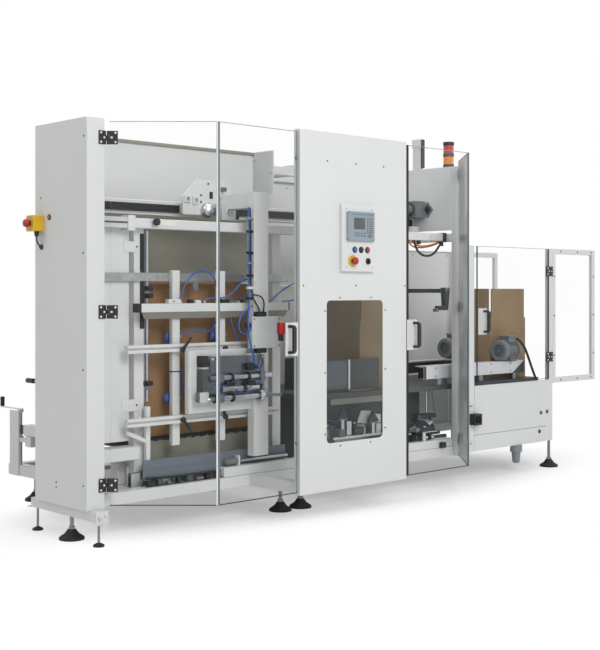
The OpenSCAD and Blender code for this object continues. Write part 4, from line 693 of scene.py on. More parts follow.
class ERECTOR_OT_front_panel(bpy.types.Operator):
    """Folds the operator panel and fixes its window and screws"""

    bl_idname = "erector.front_panel"
    bl_label = "Front panel"

    def execute(self, context):
        size = context.scene.erector_sizes
        soften_node("front_panel", "powder_coat", size.fold)
        dress("front_window", "smoked_polycarbonate")
        (x0, y0, _), (_, y1, _) = reach("front_panel")
        made = Piece()
        screws(made, [(x, y0, z) for x, z in ((1213, 1868), (1426, 1868), (1640, 1868),
                                              (1044, 1227), (1425, 1227), (1810, 1227),
                                              (1306, 1164), (1541, 1164), (1197, 1096),
                                              (1652, 1096), (1197, 779), (1652, 779), (1197, 462),
                                              (1652, 462), (1309, 395), (1538, 395))], FRONT,
               size.screw * 0.8, "dark_screw")
        for z in (1870, 430):
            made.add(boss(at(x0, (y0 + y1) / 2, z), LEFT, [(9, 0), (9, 3), (6, 5)]), "black_rubber")
        made.place("panel_screws", "frame", "bright_steel")

        # What the tinted window shows under the forming station: guide plate, wedges,
        # bars and a hose.
        rig = Piece()
        boxes(rig, ((1722, 1900), (152, 158), (628, 790), 1, "slate_enamel"),
              ((1900, 1914), (146, 158), (622, 797), 1, "anodised_aluminium"),
              ((1830, 2100), (104, 152), (610.4, 613), 0.6, "black_rubber"),
              ((1880, 2080), (112, 150), (613, 620), 1, "kraft_board"),
              # Bar under the station, grey as painted shade.
              ((1700, 2240), (92, 100), (545, 579), 2, "liner_coat"),
              ((1640, 2300), (200, 241), (300, 330), 3, "galvanised_steel"),
              ((1760, 2200), (130, 150), (338, 354), 2, "anodised_aluminium"),
              ((1700, 1780), (140, 200), (227, 420), 3, "dark_enamel"),
              ((2150, 2230), (140, 200), (227, 420), 3, "dark_enamel"),
              ((1860, 1900), (120, 190), (360, 440), 3, "zinc_steel"),
              ((1915, 1990), (110, 190), (354, 400), 3, "black_nylon"),
              ((2090, 2130), (100, 180), (354, 410), 3, "zinc_steel"),
              ((1780, 1830), (100, 160), (354, 400), 3, "machine_enamel"))
        for x, z in ((1811, 460), (2068, 426)):
            rig.add(plate(100, ((x - 46, z), (x + 46, z), (x + 5, z + 54), (x - 5, z + 54)), 16,
                          1.5), "black_nylon")
            boxes(rig, ((x - 12, x + 12), (104, 116), (354, z + 2), 1, "zinc_steel"),
                  ((x - 30, x + 30), (100, 241), (z - 8, z), 1, "drawn_steel"))
        for outline in (((1990, 494), (2075, 488), (2052, 414), (1955, 424)),
                        ((2105, 468), (2160, 462), (2160, 414), (2098, 420))):
            rig.add(plate(130, outline, 3, 0.6), "powder_coat")
        boxes(rig, ((1955, 2160), (133, 241), (396, 416), 1, "drawn_steel"))
        for x in (1725, 1950, 2035, 2195):
            rig.add(rod(at(x, 150, 354), at(x, 150, 430), 22), "zinc_steel")
            rig.add(boss(at(x, 150, 404), UP, [(19, 0), (19, 14)], 20), "black_nylon")
        rig.place("forming_rig", "frame", "dark_paint")
        hose("forming_hose", [(1690, 236, 452), (1700, 190, 458), (1730, 140, 456),
                              (1790, 116, 448), (1850, 130, 438), (1890, 180, 436),
                              (1900, 232, 440)], size.air_hose, "blue_hose")
        return {"FINISHED"}


class ERECTOR_OT_controls(bpy.types.Operator):
    """Builds the terminal, push buttons, selector and stop buttons"""

    bl_idname = "erector.controls"
    bl_label = "Controls"

    def execute(self, context):
        size = context.scene.erector_sizes
        soften_node("control_plate", "powder_coat", size.small_edge * 1.5)
        (x0, y0, z0), (x1, _, z1) = reach("control_plate")
        corners = Piece()
        screws(corners, [(x, y0, z) for x in (x0 + 30, x1 - 18) for z in (z0 + 21, z1 - 25)], FRONT,
               size.screw * 0.8, "zinc_steel")
        corners.place("control_plate_screws", "frame", "bright_steel")

        # Terminal: name strip left bare, screen, keys in two fields, arrow keys and corner screws.
        (tx0, ty0, tz0), (tx1, _, tz1) = reach("operator_terminal")
        made = Piece()
        made.add(softened("operator_terminal", size.small_edge * 2.5, 3), "terminal_grey")
        boxes(made,
              ((tx0 + 32, tx1 - 11), (ty0 - 0.6, ty0 + 1), (tz1 - 17, tz1 - 11), 0.3, "blue_key"),
              ((tx0 + 46, tx0 + 130), (ty0 + 2.2, ty0 + 4.2), (tz0 + 62, tz0 + 122), 0.2,
               "screen_glass"))
        for columns, rows, wide, tall, finish in (
            ((58, 80, 103, 125), (41.5, 29), 8, 4, "blue_key"),
            ((149, 166, 181), (118, 105, 93, 81, 70, 58, 46), 4.5, 3.5, "dark_key"),
        ):
            for x in columns:
                for z in rows:
                    boxes(made, ((tx0 + x - wide, tx0 + x + wide), (ty0 - 0.9, ty0 + 1),
                                 (tz0 + z - tall, tz0 + z + tall), 0.8, finish))
        middle = at(tx0 + 165, ty0 + 0.5, tz0 + 28.6)
        for side in ((-14, 0), (14, 0), (0, 9), (0, -9)):
            tip = Vector((side[0], 0, side[1])) * MM
            wide = Vector((side[1] * 0.8, 0, side[0] * 0.45)) * MM
            made.add(slab([middle + tip * 1.5, middle + tip * 0.5 + wide,
                           middle + tip * 0.5 - wide], (0, -1.4, 0), 0.3), "dark_key")
        screws(made, [(x, ty0, z) for x in (tx0 + 6, tx1 - 6) for z in (tz0 + 6, tz1 - 6)], FRONT,
               5 * MM, "black_nylon")
        made.place("operator_terminal.worked", "frame", "grey_plastic", ("operator_terminal",))

        # Three push buttons in a row, and the selector below them.
        upper, lower = 1415, 1356
        made = Piece()
        for x, cap in ((1395, "signal_blue"), (1443, "black_nylon"), (1491, "signal_red")):
            base = at(x, y0, upper)
            made.add(boss(base, FRONT, [(16.5, 0), (16.5, 3), (15, 5.5), (12.6, 6), (12.6, 4)]),
                     "black_nylon")
            made.add(turned(base + FRONT * 4 * MM, FRONT,
                            [(0, 0), (11.8, 0), (11.8, 4.5), (10.6, 5.6), (0, 4.8)]), cap)
        base = at(1495, y0, lower)
        made.add(boss(base, FRONT, [(16.5, 0), (16.5, 3), (15, 6), (13, 7)]), "black_nylon")
        knob = ((-4, -13), (4, -13), (5, 0), (3, 14), (-3, 14), (-5, 0))
        made.add(slab([base + Vector((x, -7, z)) * MM for x, z in knob], (0, -11, 0), 1.2),
                 "black_nylon")
        boxes(made, ((1494.3, 1495.7), (y0 - 18.4, y0 - 17.8), (1359, 1369), 0.2, "white_acetal"))
        made.place("push_buttons.worked", "frame", "black_plastic", ("push_buttons",))

        # Stop buttons on the control plate and on the pillar's box.
        soften_node("stop_bases", "signal_yellow", size.small_edge * 3, 3)
        made = Piece()
        made.add(boss(at(1378, y0 - 4, lower), FRONT, [(13, 0), (13, 14)]), "black_nylon")
        made.add(turned(at(1378, y0 - 16, lower), FRONT,
                        [(0, 0), (12, 0), (19.5, 3), (20, 6), (19.5, 11), (17, 14.5), (11, 16.5),
                         (0, 17)], 36), "signal_red")
        hub = (406, 1530)
        made.add(boss(at(-60, *hub), LEFT, [(14, 0), (14, 12)]), "black_nylon")
        made.add(turned(at(-71, *hub), LEFT, [(0, 0), (13, 0), (19.5, 4), (20, 9), (19.5, 16),
                                              (17, 21), (11, 24), (0, 25)], 36), "signal_red")
        made.place("stop_buttons.worked", "frame", "red_plastic", ("stop_buttons",))

        # Lid of the pillar's stop box, with its gland and the grommet that takes the cable.
        made = Piece()
        boxes(made, ((-63, -40), (371, 441), (1491, 1569), 2.5, "signal_yellow"))
        screws(made, [(-63, y, z) for y in (379, 433) for z in (1499, 1561)], LEFT, 6 * MM,
               "zinc_steel")
        made.add(boss(at(-24, 406, 1493), DOWN, [(13, 0), (13, 8), (11, 9), (11, 20), (9, 26)], 12),
                 "black_nylon")
        made.add(boss(at(0, 396, 1415), LEFT, [(13, 0), (13, 4), (9, 10)], 12), "black_nylon")
        made.place("stop_box_lid", "frame", "yellow_plastic")
        hose("stop_box_cable", [(-24, 406, 1469), (-24, 405, 1450), (-21, 402, 1434),
                                (-15, 399, 1424), (-8, 396, 1416)], 0.008, "black_cable",
             slot="black_plastic")
        return {"FINISHED"}


class ERECTOR_OT_doors(bpy.types.Operator):
    """Trims the clear doors and screws on their hinges and interlocks"""

    bl_idname = "erector.doors"
    bl_label = "Guard doors"

    def execute(self, context):
        size = context.scene.erector_sizes
        for name in ("left_door_pane", "right_door_pane", "outfeed_door_pane", "guard_panes"):
            dress(name, "clear_polycarbonate")

        # Each hinge has three screws a leaf; a door runs from its pin over a bend to its free edge.
        hinges, holes = (280, 1100, 1925), ((36, 22), (36, -22), (18, 0))
        fixed = Piece()
        for side, pin, bend, free in (("left", 112, 489, 1011), ("right", 2722, 2375, 1832)):
            body = f"{side}_door"
            low, high = reach(f"{side}_door_pane")
            face, z0, z1 = low.y, low.z, high.z
            sign = 1 if side == "left" else -1
            facet = at(bend, face, 0) - at(pin, PIN_Y, 0)
            facet.normalize()
            out = Vector((facet.y, -facet.x, 0))
            if out.y > 0:
                out = -out

            made = Piece()
            if side == "left":
                # Polished rod for the bend's bright line, with a slate strip on its right that
                # paints the bend's dark reflection.
                made.add(rod(at(bend, face + 3, z0 + 1), at(bend, face + 3, z1 - 1), 9),
                         "polished_edge")
                boxes(made,
                      ((bend + 4, bend + 14), (face - 1.4, face + 5), (z0, z1), 0.6,
                       "slate_enamel"),
                      ((free - 5, free), (face - 1, face + 7), (z0, z1), 0.6, "sheet_edge"))
            else:
                # The bend's dark line as a slate strip, a painted dark reflection, and a rubber
                # strip along the free edge.
                boxes(made,
                      ((bend - 4, bend + 3), (face - 1.5, face + 7), (z0, z1), 1, "slate_enamel"),
                      ((free, free + 16), (face - 2, face + 8), (z0, z1), 1, "black_rubber"))
            span = (min(bend, free), max(bend, free))
            # Cut edges along the bottom and top of the sheet: the bottom one dark as painted shade,
            # the top one in the lighter edge tone.
            boxes(made, (span, (face - 0.8, face + 6.8), (z0, z0 + 4), 0.5, "dark_edge"),
                  (span, (face - 0.6, face + 6.6), (z1 - 2.5, z1), 0.4, "sheet_edge"))
            start = at(pin, PIN_Y, z0) + facet * 8 * MM
            inward = -out * 7
            # The same two edges along the facet to the pin, the lower one in painted shade.
            for lift, high_edge, finish in ((0, 4, "dark_edge"),
                                            ((z1 - z0) - 2.5, 2.5, "sheet_edge")):
                foot = UP * lift * MM
                made.add(slab([start + foot, at(bend, face, z0) + foot,
                               at(bend, face, z0 + high_edge) + foot,
                               start + foot + UP * high_edge * MM], inward, 0.4), finish)
            made.place(f"{side}_door_trim", body, "clear_sheet")

            bits = Piece()
            for z in hinges:
                for along, dz in holes:
                    spot = at(pin, PIN_Y, z + dz) + facet * along * MM + out * 5 * MM
                    bits.add(screw(spot, out, size.screw), "white_acetal")
                    fixed.add(screw(at(pin - sign * along, -5, z + dz), FRONT, size.screw),
                              "white_acetal")
            bits.place(f"{side}_door_hinge_screws", body, "bright_steel")
        fixed.place("hinge_screws", "frame", "bright_steel")

        # Coded interlock behind the left door's handle, with its lead stub.
        lock = Piece()
        boxes(lock, ((896, 931), (-360, -334), (984, 1042), 3, "signal_red"),
              ((902, 925), (-356, -336), (950, 984), 3, "black_nylon"))
        screws(lock, [(913.5, -334, z) for z in (994, 1032)], BACK, 6 * MM, "zinc_steel")
        lock.place("left_door_interlock", "left_door", "red_plastic")
        return {"FINISHED"}


class ERECTOR_OT_feet(bpy.types.Operator):
    """Rounds the levelling feet and darkens their studs"""

    bl_idname = "erector.feet"
    bl_label = "Feet"

    def execute(self, context):
        size = context.scene.erector_sizes
        soften_node("foot_pads", "black_rubber", size.small_edge * 2, 3)
        soften_node("foot_studs", "drawn_steel", size.small_edge)
        return {"FINISHED"}


class ERECTOR_OT_magazine(bpy.types.Operator):
    """Stacks the blanks and fits the magazine's guides, rack, chain and crank"""

    bl_idname = "erector.magazine"
    bl_label = "Magazine"

    def execute(self, context):
        size = context.scene.erector_sizes
        # Blanks: each one lies a little higher, lower or further along than the next.
        (x0, y0, z0), (x1, y1, z1) = reach("case_blanks")
        made = Piece()
        count = int((y1 - y0) / (size.board / MM))
        step = (y1 - y0) / count
        for i in range(count):
            lift = 1.8 * math.sin(i * 2.399) + 1.8 + (20 if i < 8 else 0)
            slide = 2.6 * math.sin(i * 1.713 + 0.6)
            y = y0 + i * step
            # Each blank wears the stack board, painted darker as shade.
            made.add(block((x0 + 3 + slide, x1 - 3 + slide), (y + 0.3, y + step - 0.3),
                           (z0, z1 - lift), 0.9, 1), "stack_board")
        made.place("case_blanks.worked", "frame", "board", ("case_blanks",))

        fit = Piece()
        # Toothed rack on the left post, clamps that tie a slim rod to the guide rod,
        # and the top beam's profile.
        boxes(fit, ((411, 436), (144, 150), (1010, 1486), 1, "black_nylon"),
              ((101, 318), (97, 153), (1508, 1562), 2, "anodised_aluminium"),
              # The profile's slot as a thin dark strip: painted shade of the groove.
              ((101, 318), (95.6, 97.4), (1531, 1540), 0.4, "dark_enamel"),
              ((300, 345), (92, 156), (1496, 1572), 3, "powder_coat"),
              ((312, 401), (146, 150), (1392, 1446), 2, "powder_coat"),
              ((376, 436), (146, 150), (1240, 1300), 2, "powder_coat"),
              ((300, 401), (146, 150), (600, 660), 2, "powder_coat"),
              ((500, 600), (97.4, 99.8), (1528, 1552), 0.8, "white_acetal"),
              ((727, 761), (122, 130), (1205, 1248), 2, "machine_enamel"))
        for z in range(1016, 1484, 12):
            boxes(fit, ((413, 434), (141.5, 145), (z, z + 6), 0.8, "black_nylon"))
        fit.add(rod(at(472, 175, 640), at(472, 175, 1500), 16), "zinc_steel")
        for z in (734, 1175, 1212):
            boxes(fit, ((432, 486), (138, 198), (z - 12, z + 12), 3, "black_nylon"))
            fit.add(boss(at(452, 138, z), FRONT, [(11, 0), (11, 8), (8, 12)], 16), "black_nylon")
        fit.add(boss(at(463, 100, 1544), FRONT, [(8, 0), (8, 10), (17, 12), (19, 16), (19, 28),
                                                 (16, 32)], 24), "black_nylon")
        screws(fit, [(x, 146, z) for x, z in ((390, 1420), (390, 1270), (388, 630))], FRONT,
               10 * MM, "dark_screw")
        for x, z in ((420, 560), (420, 520)):
            fit.add(bolt(at(x, 150, z), FRONT, 13), "zinc_steel")
        # Short upright and brace behind the lower slotted rail.
        boxes(fit, ((419, 445), (106, 130), (320, 622), 3, "powder_coat"))
        fit.add(plate(112, ((306, 512), (420, 462), (420, 440), (306, 490)), 16, 2), "powder_coat")
        fit.place("magazine_fittings", "frame", "black_plastic")

        # Chain under the stack's front edge, apron and bed sheet behind it in a grey of painted
        # shade, tray cover and wiring below.
        low = Piece()
        boxes(low, ((437, 1303), (200, 208), (446, 455), 1, "black_rubber"),
              ((437, 1303), (203, 206), (300, 440), 0.6, "liner_coat"),
              ((437, 1303), (206, 700), (392, 394.6), 0.6, "liner_coat"),
              ((391, 1349), (96, 99.6), (262, 356), 1.5, "slate_enamel"),
              ((391, 1349), (92, 99), (306, 312), 1, "machine_enamel"))
        for i, x in enumerate(range(440, 1296, 18)):
            rise = 3 * math.sin(i * 1.9)
            boxes(low, ((x, x + 13), (196, 204), (434 + rise, 452 + rise), 2.5, "black_nylon"))
        for i, x in enumerate(range(400, 1330, 62)):
            tall = 228 + 16 + 9 * (1 + math.sin(i * 2.1))
            boxes(low, ((x, x + 30 + 14 * math.cos(i * 1.3)), (66, 92), (227.2, tall), 3,
                        ("black_nylon", "dark_enamel", "machine_enamel")[i % 3]))
        boxes(low, ((391, 1349), (64, 68), (227, 232), 1, "black_nylon"))
        # Roller, bracket and draw rod in front of the tray cover.
        low.add(boss(at(905, 78, 300), RIGHT, [(15, 0), (17, 2), (17, 76), (15, 78)], 24),
                "machine_enamel")
        boxes(low, ((983, 995), (60, 96), (262, 332), 3, "powder_coat"))
        low.add(rod(at(994, 78, 300), at(1346, 78, 300), 15), "zinc_steel")
        low.place("magazine_chain", "frame", "black_plastic")
        hose("tray_cable", [(400, 84, 268), (520, 80, 262), (660, 82, 258), (820, 80, 262),
                            (980, 82, 258), (1150, 80, 264), (1340, 84, 268)], 0.012, "black_cable",
             slot="black_plastic")

        # Crank: hub on the adjusting screw, flat arm and turned grip.
        foot = reach("magazine_crank")[0].z
        hub, grip = at(350, 1200, foot), at(350, 1400, foot)
        crank = Piece()
        crank.add(boss(hub, UP, [(16, 0), (17, 1), (17, 20), (14, 22)], 28), "white_acetal")
        boxes(crank, ((342, 358), (1186, 1412), (foot + 14.4, foot + 21.6), 2.5, "zinc_steel"))
        crank.add(boss(grip + UP * 14 * MM, UP, [(5, 0), (5, 8), (11, 9), (13, 14), (12, 34),
                                                 (13, 54), (11, 60), (6, 62)], 28), "black_nylon")
        crank.place("magazine_crank.worked", "crank", "black_plastic", ("magazine_crank",))
        # Nut block that rides the adjusting screw, at the side beam's end.
        nut = Piece()
        boxes(nut, ((334, 372), (1140, 1176), (402, 450), 2, "black_nylon"),
              ((334, 374), (1120, 1176), (366, 378), 2, "galvanised_steel"))
        nut.add(turned(at(350, 1200, 360), UP, [(10, 0), (19, 0), (19, 26), (10, 26), (10, 0)], 20),
                "galvanised_steel")
        nut.place("magazine_nut", "frame", "black_plastic")
        return {"FINISHED"}


class ERECTOR_OT_suction(bpy.types.Operator):
    """Fits the cups, levers, valves and hoses of the suction frame"""

    bl_idname = "erector.suction"
    bl_label = "Suction frame"

    def execute(self, context):
        size = context.scene.erector_sizes
        # Cups: stem, bellows and lip, two on each upright bar.
        made = Piece()
        (cx0, cy0, _), (cx1, cy1, _) = reach("suction_cups")
        depth = cy1 - cy0
        bars, levels = (cx0 + 38, cx1 - 38), (652, 960)
        for x in bars:
            for z in levels:
                made.add(turned(at(x, cy0, z), BACK,
                                [(0, 0), (12, 0), (12, depth * 0.4), (24, depth * 0.5),
                                 (27, depth * 0.6), (24, depth * 0.7), (29, depth * 0.8),
                                 (32, depth - 1.5), (31, depth), (26, depth - 4), (0, depth - 6)],
                                40), "blue_hose")
        made.place("suction_cups.worked", "frame", "blue_rubber", ("suction_cups",))

        # Clamp levers: hub and tapered handle, each set its own way.
        made = Piece()
        for hub, tip in (((615, 900), (666, 961)), ((897, 899), (925, 852)),
                         ((620, 545), (669, 482)), ((899, 541), (874, 596))):
            way = Vector((tip[0] - hub[0], 0, tip[1] - hub[1]))
            way.normalize()
            side = Vector((-way.z, 0, way.x))
            base = at(hub[0], 75, hub[1])
            made.add(boss(base, FRONT, [(11, 0), (11, 4), (14, 5), (14, 15), (11, 17.5)], 24),
                     "black_nylon")
            end = at(tip[0], 66, tip[1])
            start = at(hub[0], 66, hub[1])
            made.add(slab([start + side * 9 * MM, end + side * 6 * MM, end + way * 5 * MM,
                           end - side * 6 * MM, start - side * 9 * MM], (0, -7, 0), 2.4),
                     "black_nylon")
        made.add(turned(at(345, 1047, 703), BACK, [(0, 0), (12, 0), (14, 2), (14, 68), (12, 72),
                                                   (0, 73)], 28), "black_nylon")
        made.place("clamp_levers.worked", "frame", "black_plastic", ("clamp_levers",))

        # Beam: end caps, valves and fittings along its top.
        (x0, y0, z0), (x1, y1, z1) = reach("suction_beam")
        fit = Piece()
        boxes(fit,
              ((x0 - 1.5, x0 + 20), (y0 - 1.5, y1 + 1.5), (z0 - 1.5, z1 + 1.5), 2, "black_nylon"),
              ((x1 - 6, x1 + 2), (y0 - 1, y1 + 1), (z0 - 1, z1 + 1), 1, "dark_enamel"),
              ((528, 606), (66, 96), (z1, 1158), 3, "powder_coat"),
              ((664, 690), (70, 94), (z1, 1156), 2, "black_nylon"),
              ((700, 738), (68, 96), (z1, 1152), 3, "powder_coat"),
              ((874, 926), (66, 92), (z1, 1156), 2, "black_nylon"),
              ((940, 985), (68, 94), (z1, 1150), 2, "zinc_steel"),
              ((1000, 1024), (68, 94), (z1, 1154), 2, "black_nylon"),
              ((1130, 1180), (68, 94), (z1, 1152), 3, "powder_coat"),
              ((1222, 1240), (70, 92), (z1, 1146), 2, "zinc_steel"),
              ((1326, 1344), (74, 96), (z1, 1146), 2, "zinc_steel"))
        # Folded lip along the beam's lower edge, which leans back under it and so lies in its
        # shade; its grey colour is painted shade as well.
        low, lean = z0 - 34, 0.8
        lip = [(x0 + 24, z0), (x1 - 8, z0), (x1 - 8, low), (x0 + 58, low)]
        fit.add(slab([at(x, y0 + 2 + lean * (z0 - z), z) for x, z in lip], (0, 3, 0), 0.6),
                "liner_coat")
        for x in bars:
            for z in levels:
                fit.add(boss(at(x + 23, 117, z + 8), RIGHT, [(8, 0), (8, 10), (6, 11), (6, 18)],
                             16), "zinc_steel")
        x = bars[0]
        boxes(fit, ((x - 24.5, x + 24.5), (103.5, 131.5), (786, 792), 0.8, "black_rubber"))
        for x in (616, 769, 930, 1000):
            fit.add(boss(at(x, 80, z1), UP, [(8, 0), (8, 8), (6, 9), (6, 14)], 14), "zinc_steel")
        screws(fit, [(x, 66, 1147) for x in (560, 1150)], FRONT, 8 * MM, "dark_screw")
        fit.place("suction_fittings", "frame", "black_plastic")

        for name, points in (
            ("arch_hose", [(616, 80, 1148), (624, 80, 1200), (660, 80, 1265), (715, 80, 1300),
                           (770, 80, 1306), (820, 84, 1290), (855, 94, 1250), (878, 110, 1205)]),
            ("loop_hose", [(769, 80, 1148), (800, 76, 1166), (860, 70, 1158), (930, 66, 1172),
                           (976, 64, 1214), (1012, 64, 1254), (1050, 65, 1266), (1080, 66, 1246),
                           (1084, 68, 1208), (1054, 72, 1176), (1010, 76, 1152)]),
            ("beam_end_hose", [(1231, 80, 1144), (1268, 78, 1178), (1333, 74, 1216),
                               (1400, 72, 1246), (1462, 74, 1240), (1474, 78, 1180),
                               (1424, 84, 1150), (1380, 86, 1146), (1337, 86, 1144)]),
            ("upper_cup_hose", [(645, 117, 968), (672, 106, 986), (718, 92, 1002), (752, 86, 992),
                                (786, 86, 986), (822, 92, 994), (856, 104, 1016),
                                (880, 116, 1050)]),
            ("rail_hose", [(955, 114, 1090), (962, 100, 1046), (974, 90, 992), (994, 88, 955),
                           (1016, 92, 934)]),
            ("lower_cup_hose", [(645, 117, 660), (644, 112, 690), (638, 108, 730), (634, 108, 770),
                                (632, 110, 800)]),
        ):
            hose(name, points, size.air_hose, "blue_hose")
        return {"FINISHED"}


class ERECTOR_OT_transfer(bpy.types.Operator):
    """Fits the drive, tooling, clips and hoses of the transfer carriage"""

    bl_idname = "erector.transfer"
    bl_label = "Transfer carriage"

    def execute(self, context):
        # Clips that hold the hose and the cable to the column.
        x0 = reach("carriage_column")[0].x
        made = Piece()
        for z, finish in ((1581, "zinc_steel"), (1512, "black_nylon"), (1400, "black_nylon"),
                          (1346, "zinc_steel"), (1280, "black_nylon"), (1215, "white_acetal"),
                          (1160, "black_nylon"), (1118, "zinc_steel")):
            boxes(made, ((x0 - 34, x0 + 1), (2, 24), (z - 7, z + 7), 3, finish))
        # Gearbox, dome and guide bosses on the trolley.
        tx0, front, _ = reach("trolley")[0]
        boxes(made, ((1022, 1120), (front - 70, front + 2), (1582, 1676), 4, "satin_aluminium"),
              ((1120, 1152), (front - 60, front + 2), (1592, 1690), 3, "dark_enamel"),
              ((960, 1050), (front - 44, front + 2), (1612, 1650), 4, "drawn_steel"),
              ((990, 1012), (front - 3, front + 1), (1700, 1738), 1.5, "black_nylon"),
              ((tx0 + 6, tx0 + 46), (front - 10, front + 1), (1672, 1712), 3, "powder_coat"),
              ((tx0 + 62, tx0 + 100), (front - 10, front + 1), (1664, 1710), 3, "powder_coat"),
              ((1056, 1100), (front - 24, front + 1), (1690, 1712), 3, "zinc_steel"),
              ((1068, 1090), (front - 30, front + 1), (1742, 1766), 4, "drawn_steel"))
        made.add(turned(at(968, front - 2, 1634), FRONT,
                        [(0, 0), (40, 0), (42, 8), (38, 26), (26, 38), (12, 44), (0, 45)], 36),
                 "zinc_steel")
        made.add(boss(at(1080, front - 70, 1632), FRONT,
                      [(26, 0), (26, 3), (24, 4), (7, 4), (7, 1)], 28), "polished_edge")
        for dx, z in ((26, 1692), (81, 1687)):
            made.add(boss(at(tx0 + dx, front - 10, z), FRONT,
                          [(12, 0), (12, 2), (6, 2.4), (6, 0.6)], 20), "zinc_steel")
        screws(made, [(tx0 + 120, front, 1716), (tx0 + 120, front, 1680), (tx0 + 170, front, 1780)],
               FRONT, 12 * MM, "dark_screw")
        made.place("trolley_drive", "carriage", "bright_steel")

        # Junction box: corner screws, plugs above and below, and its turn lock.
        (bx0, by0, bz0), (bx1, by1, bz1) = reach("junction_box")
        made = Piece()
        screws(made, [(x, by0, z) for x in (bx0 + 14, bx1 - 12) for z in (bz0 + 12, bz1 - 12)],
               FRONT, 9 * MM, "dark_screw")
        boxes(made, ((bx0 + 36, bx0 + 104), (by0 + 4, by1 - 2), (bz1, bz1 + 26), 3, "black_nylon"),
              ((bx0 + 36, bx0 + 104), (by0 + 4, by1 - 2), (bz0 - 26, bz0), 3, "black_nylon"))
        for lift in (6, 13, 20):
            boxes(made,
                  ((bx0 + 34, bx0 + 106), (by0 + 3, by1 - 1), (bz1 + lift - 1.5, bz1 + lift + 1.5),
                   1, "black_nylon"),
                  ((bx0 + 34, bx0 + 106), (by0 + 3, by1 - 1), (bz0 - lift - 1.5, bz0 - lift + 1.5),
                   1, "black_nylon"))
        made.add(boss(at(bx0, by0 + 14, 1020), LEFT,
                      [(7, 0), (7, 6), (16, 8), (18, 12), (18, 20), (15, 24)], 24), "black_nylon")
        made.place("junction_box_plugs", "carriage", "black_plastic")

        # Head: lifting cylinder, plated sleeves on the rods, valves, clamps and rod
        # rings on the tooling plate.
        head = Piece()
        for y, z, ends, across in ((-29, 755, (796, 1044), 27.2), (-29, 651, (796, 1044), 27.2),
                                   (-29, 755, (1076, 1130), 27.2), (-23, 696, (796, 1044), 33)):
            head.add(rod(at(ends[0], y, z), at(ends[1], y, z), across), "zinc_steel")
        boxes(head, ((671, 731), (-26, 24), (676, 802), 6, "dark_enamel"),
              ((671, 719), (-20, 24), (812, 870), 5, "black_nylon"),
              ((680, 722), (-14, 20), (800, 814), 2, "zinc_steel"),
              ((621, 634), (18, 26), (577, 897), 2, "powder_coat"),
              ((640, 700), (-44, -4), (636, 690), 4, "zinc_steel"),
              ((735, 1105), (-10, -6), (864, 871), 1, "anodised_aluminium"),
              ((966, 1022), (-34, -8), (785, 822), 3, "black_nylon"),
              ((826, 874), (-30, -8), (710, 738), 3, "black_nylon"),
              ((966, 1022), (-36, -8), (706, 730), 3, "black_nylon"),
              ((1022, 1072), (-34, -8), (684, 710), 3, "black_nylon"),
              ((884, 926), (-28, -8), (700, 724), 3, "dark_enamel"))
        for x, z in ((852, 755), (966, 755), (742, 651), (860, 651), (940, 696)):
            head.add(turned(at(x, -27, z), RIGHT, [(11, 0), (23, 0), (24, 1), (24, 9), (23, 10),
                                                   (11, 10), (11, 0)], 28), "black_nylon")
        head.add(boss(at(1046, -27, 651), RIGHT, [(30, 0), (32, 2), (32, 22), (26, 30), (10, 33)],
                      32), "zinc_steel")
        head.add(rod(at(1078, -20, 651), at(1222, -12, 644), 16), "drawn_steel")
        for x, z in ((700, 650), (1085, 690), (1085, 850), (750, 850)):
            head.add(bolt(at(x, -44 if x == 700 else -10, z), FRONT, 10), "zinc_steel")
        for x, z in ((1000, 760), (1047, 800), (900, 740), (820, 700)):
            head.add(boss(at(x, -8, z), FRONT, [(7, 0), (7, 12), (5, 13), (5, 20)], 14),
                     "signal_blue")
        head.place("head_fittings", "carriage", "bright_steel")

        # Hoses and cables of the carriage: points, finish and diameter in metres.
        for name, points, finish, wide in (
            ("column_hose", [(1012, 14, 1640), (1012, 12, 1581), (1014, 10, 1490), (1012, 10, 1400),
                             (1010, 10, 1346), (1012, 10, 1280), (1012, 10, 1215), (1010, 8, 1130),
                             (994, -8, 1090), (972, -30, 1062), (960, -44, 1020), (962, -46, 965),
                             (978, -46, 905), (1004, -42, 850), (1014, -32, 818)], "blue_hose",
             0.01),
            ("column_cable", [(1024, 16, 1636), (1026, 14, 1560), (1026, 12, 1450),
                              (1025, 12, 1330), (1026, 12, 1220), (1030, 2, 1164),
                              (1042, -12, 1134), (1054, -18, 1110), (1062, -18, 1088)],
             "black_cable", 0.009),
            ("plug_cable", [(1028, 8, 1180), (1040, -10, 1178), (1070, -24, 1172),
                            (1092, -24, 1140), (1088, -18, 1088)], "black_cable", 0.008),
            ("lock_hose", [(1014, 4, 1110), (976, -12, 1102), (936, -18, 1076), (914, -20, 1036),
                           (916, -20, 992), (950, -22, 970), (980, -24, 982), (997, -24, 1000)],
             "blue_hose", 0.008),
            ("valve_hose", [(850, -22, 708), (868, -40, 690), (905, -46, 680), (950, -44, 686),
                            (990, -36, 704)], "blue_hose", 0.006),
            ("cylinder_hose", [(726, -10, 700), (750, -26, 712), (782, -34, 714), (808, -30, 710),
                               (826, -22, 716)], "blue_hose", 0.006),
            ("plate_hose", [(1014, -32, 818), (1036, -46, 800), (1052, -44, 766), (1054, -32, 730),
                            (1050, -26, 712)], "blue_hose", 0.008),
            ("lower_plug_hose", [(1060, -18, 874), (1074, -22, 852), (1082, -24, 822),
                                 (1064, -24, 796), (1040, -22, 792), (1022, -22, 798)],
             "black_cable", 0.006),
        ):
            hose(name, points, wide, finish, "carriage",
                 "blue_rubber" if finish == "blue_hose" else "black_plastic")
        return {"FINISHED"}


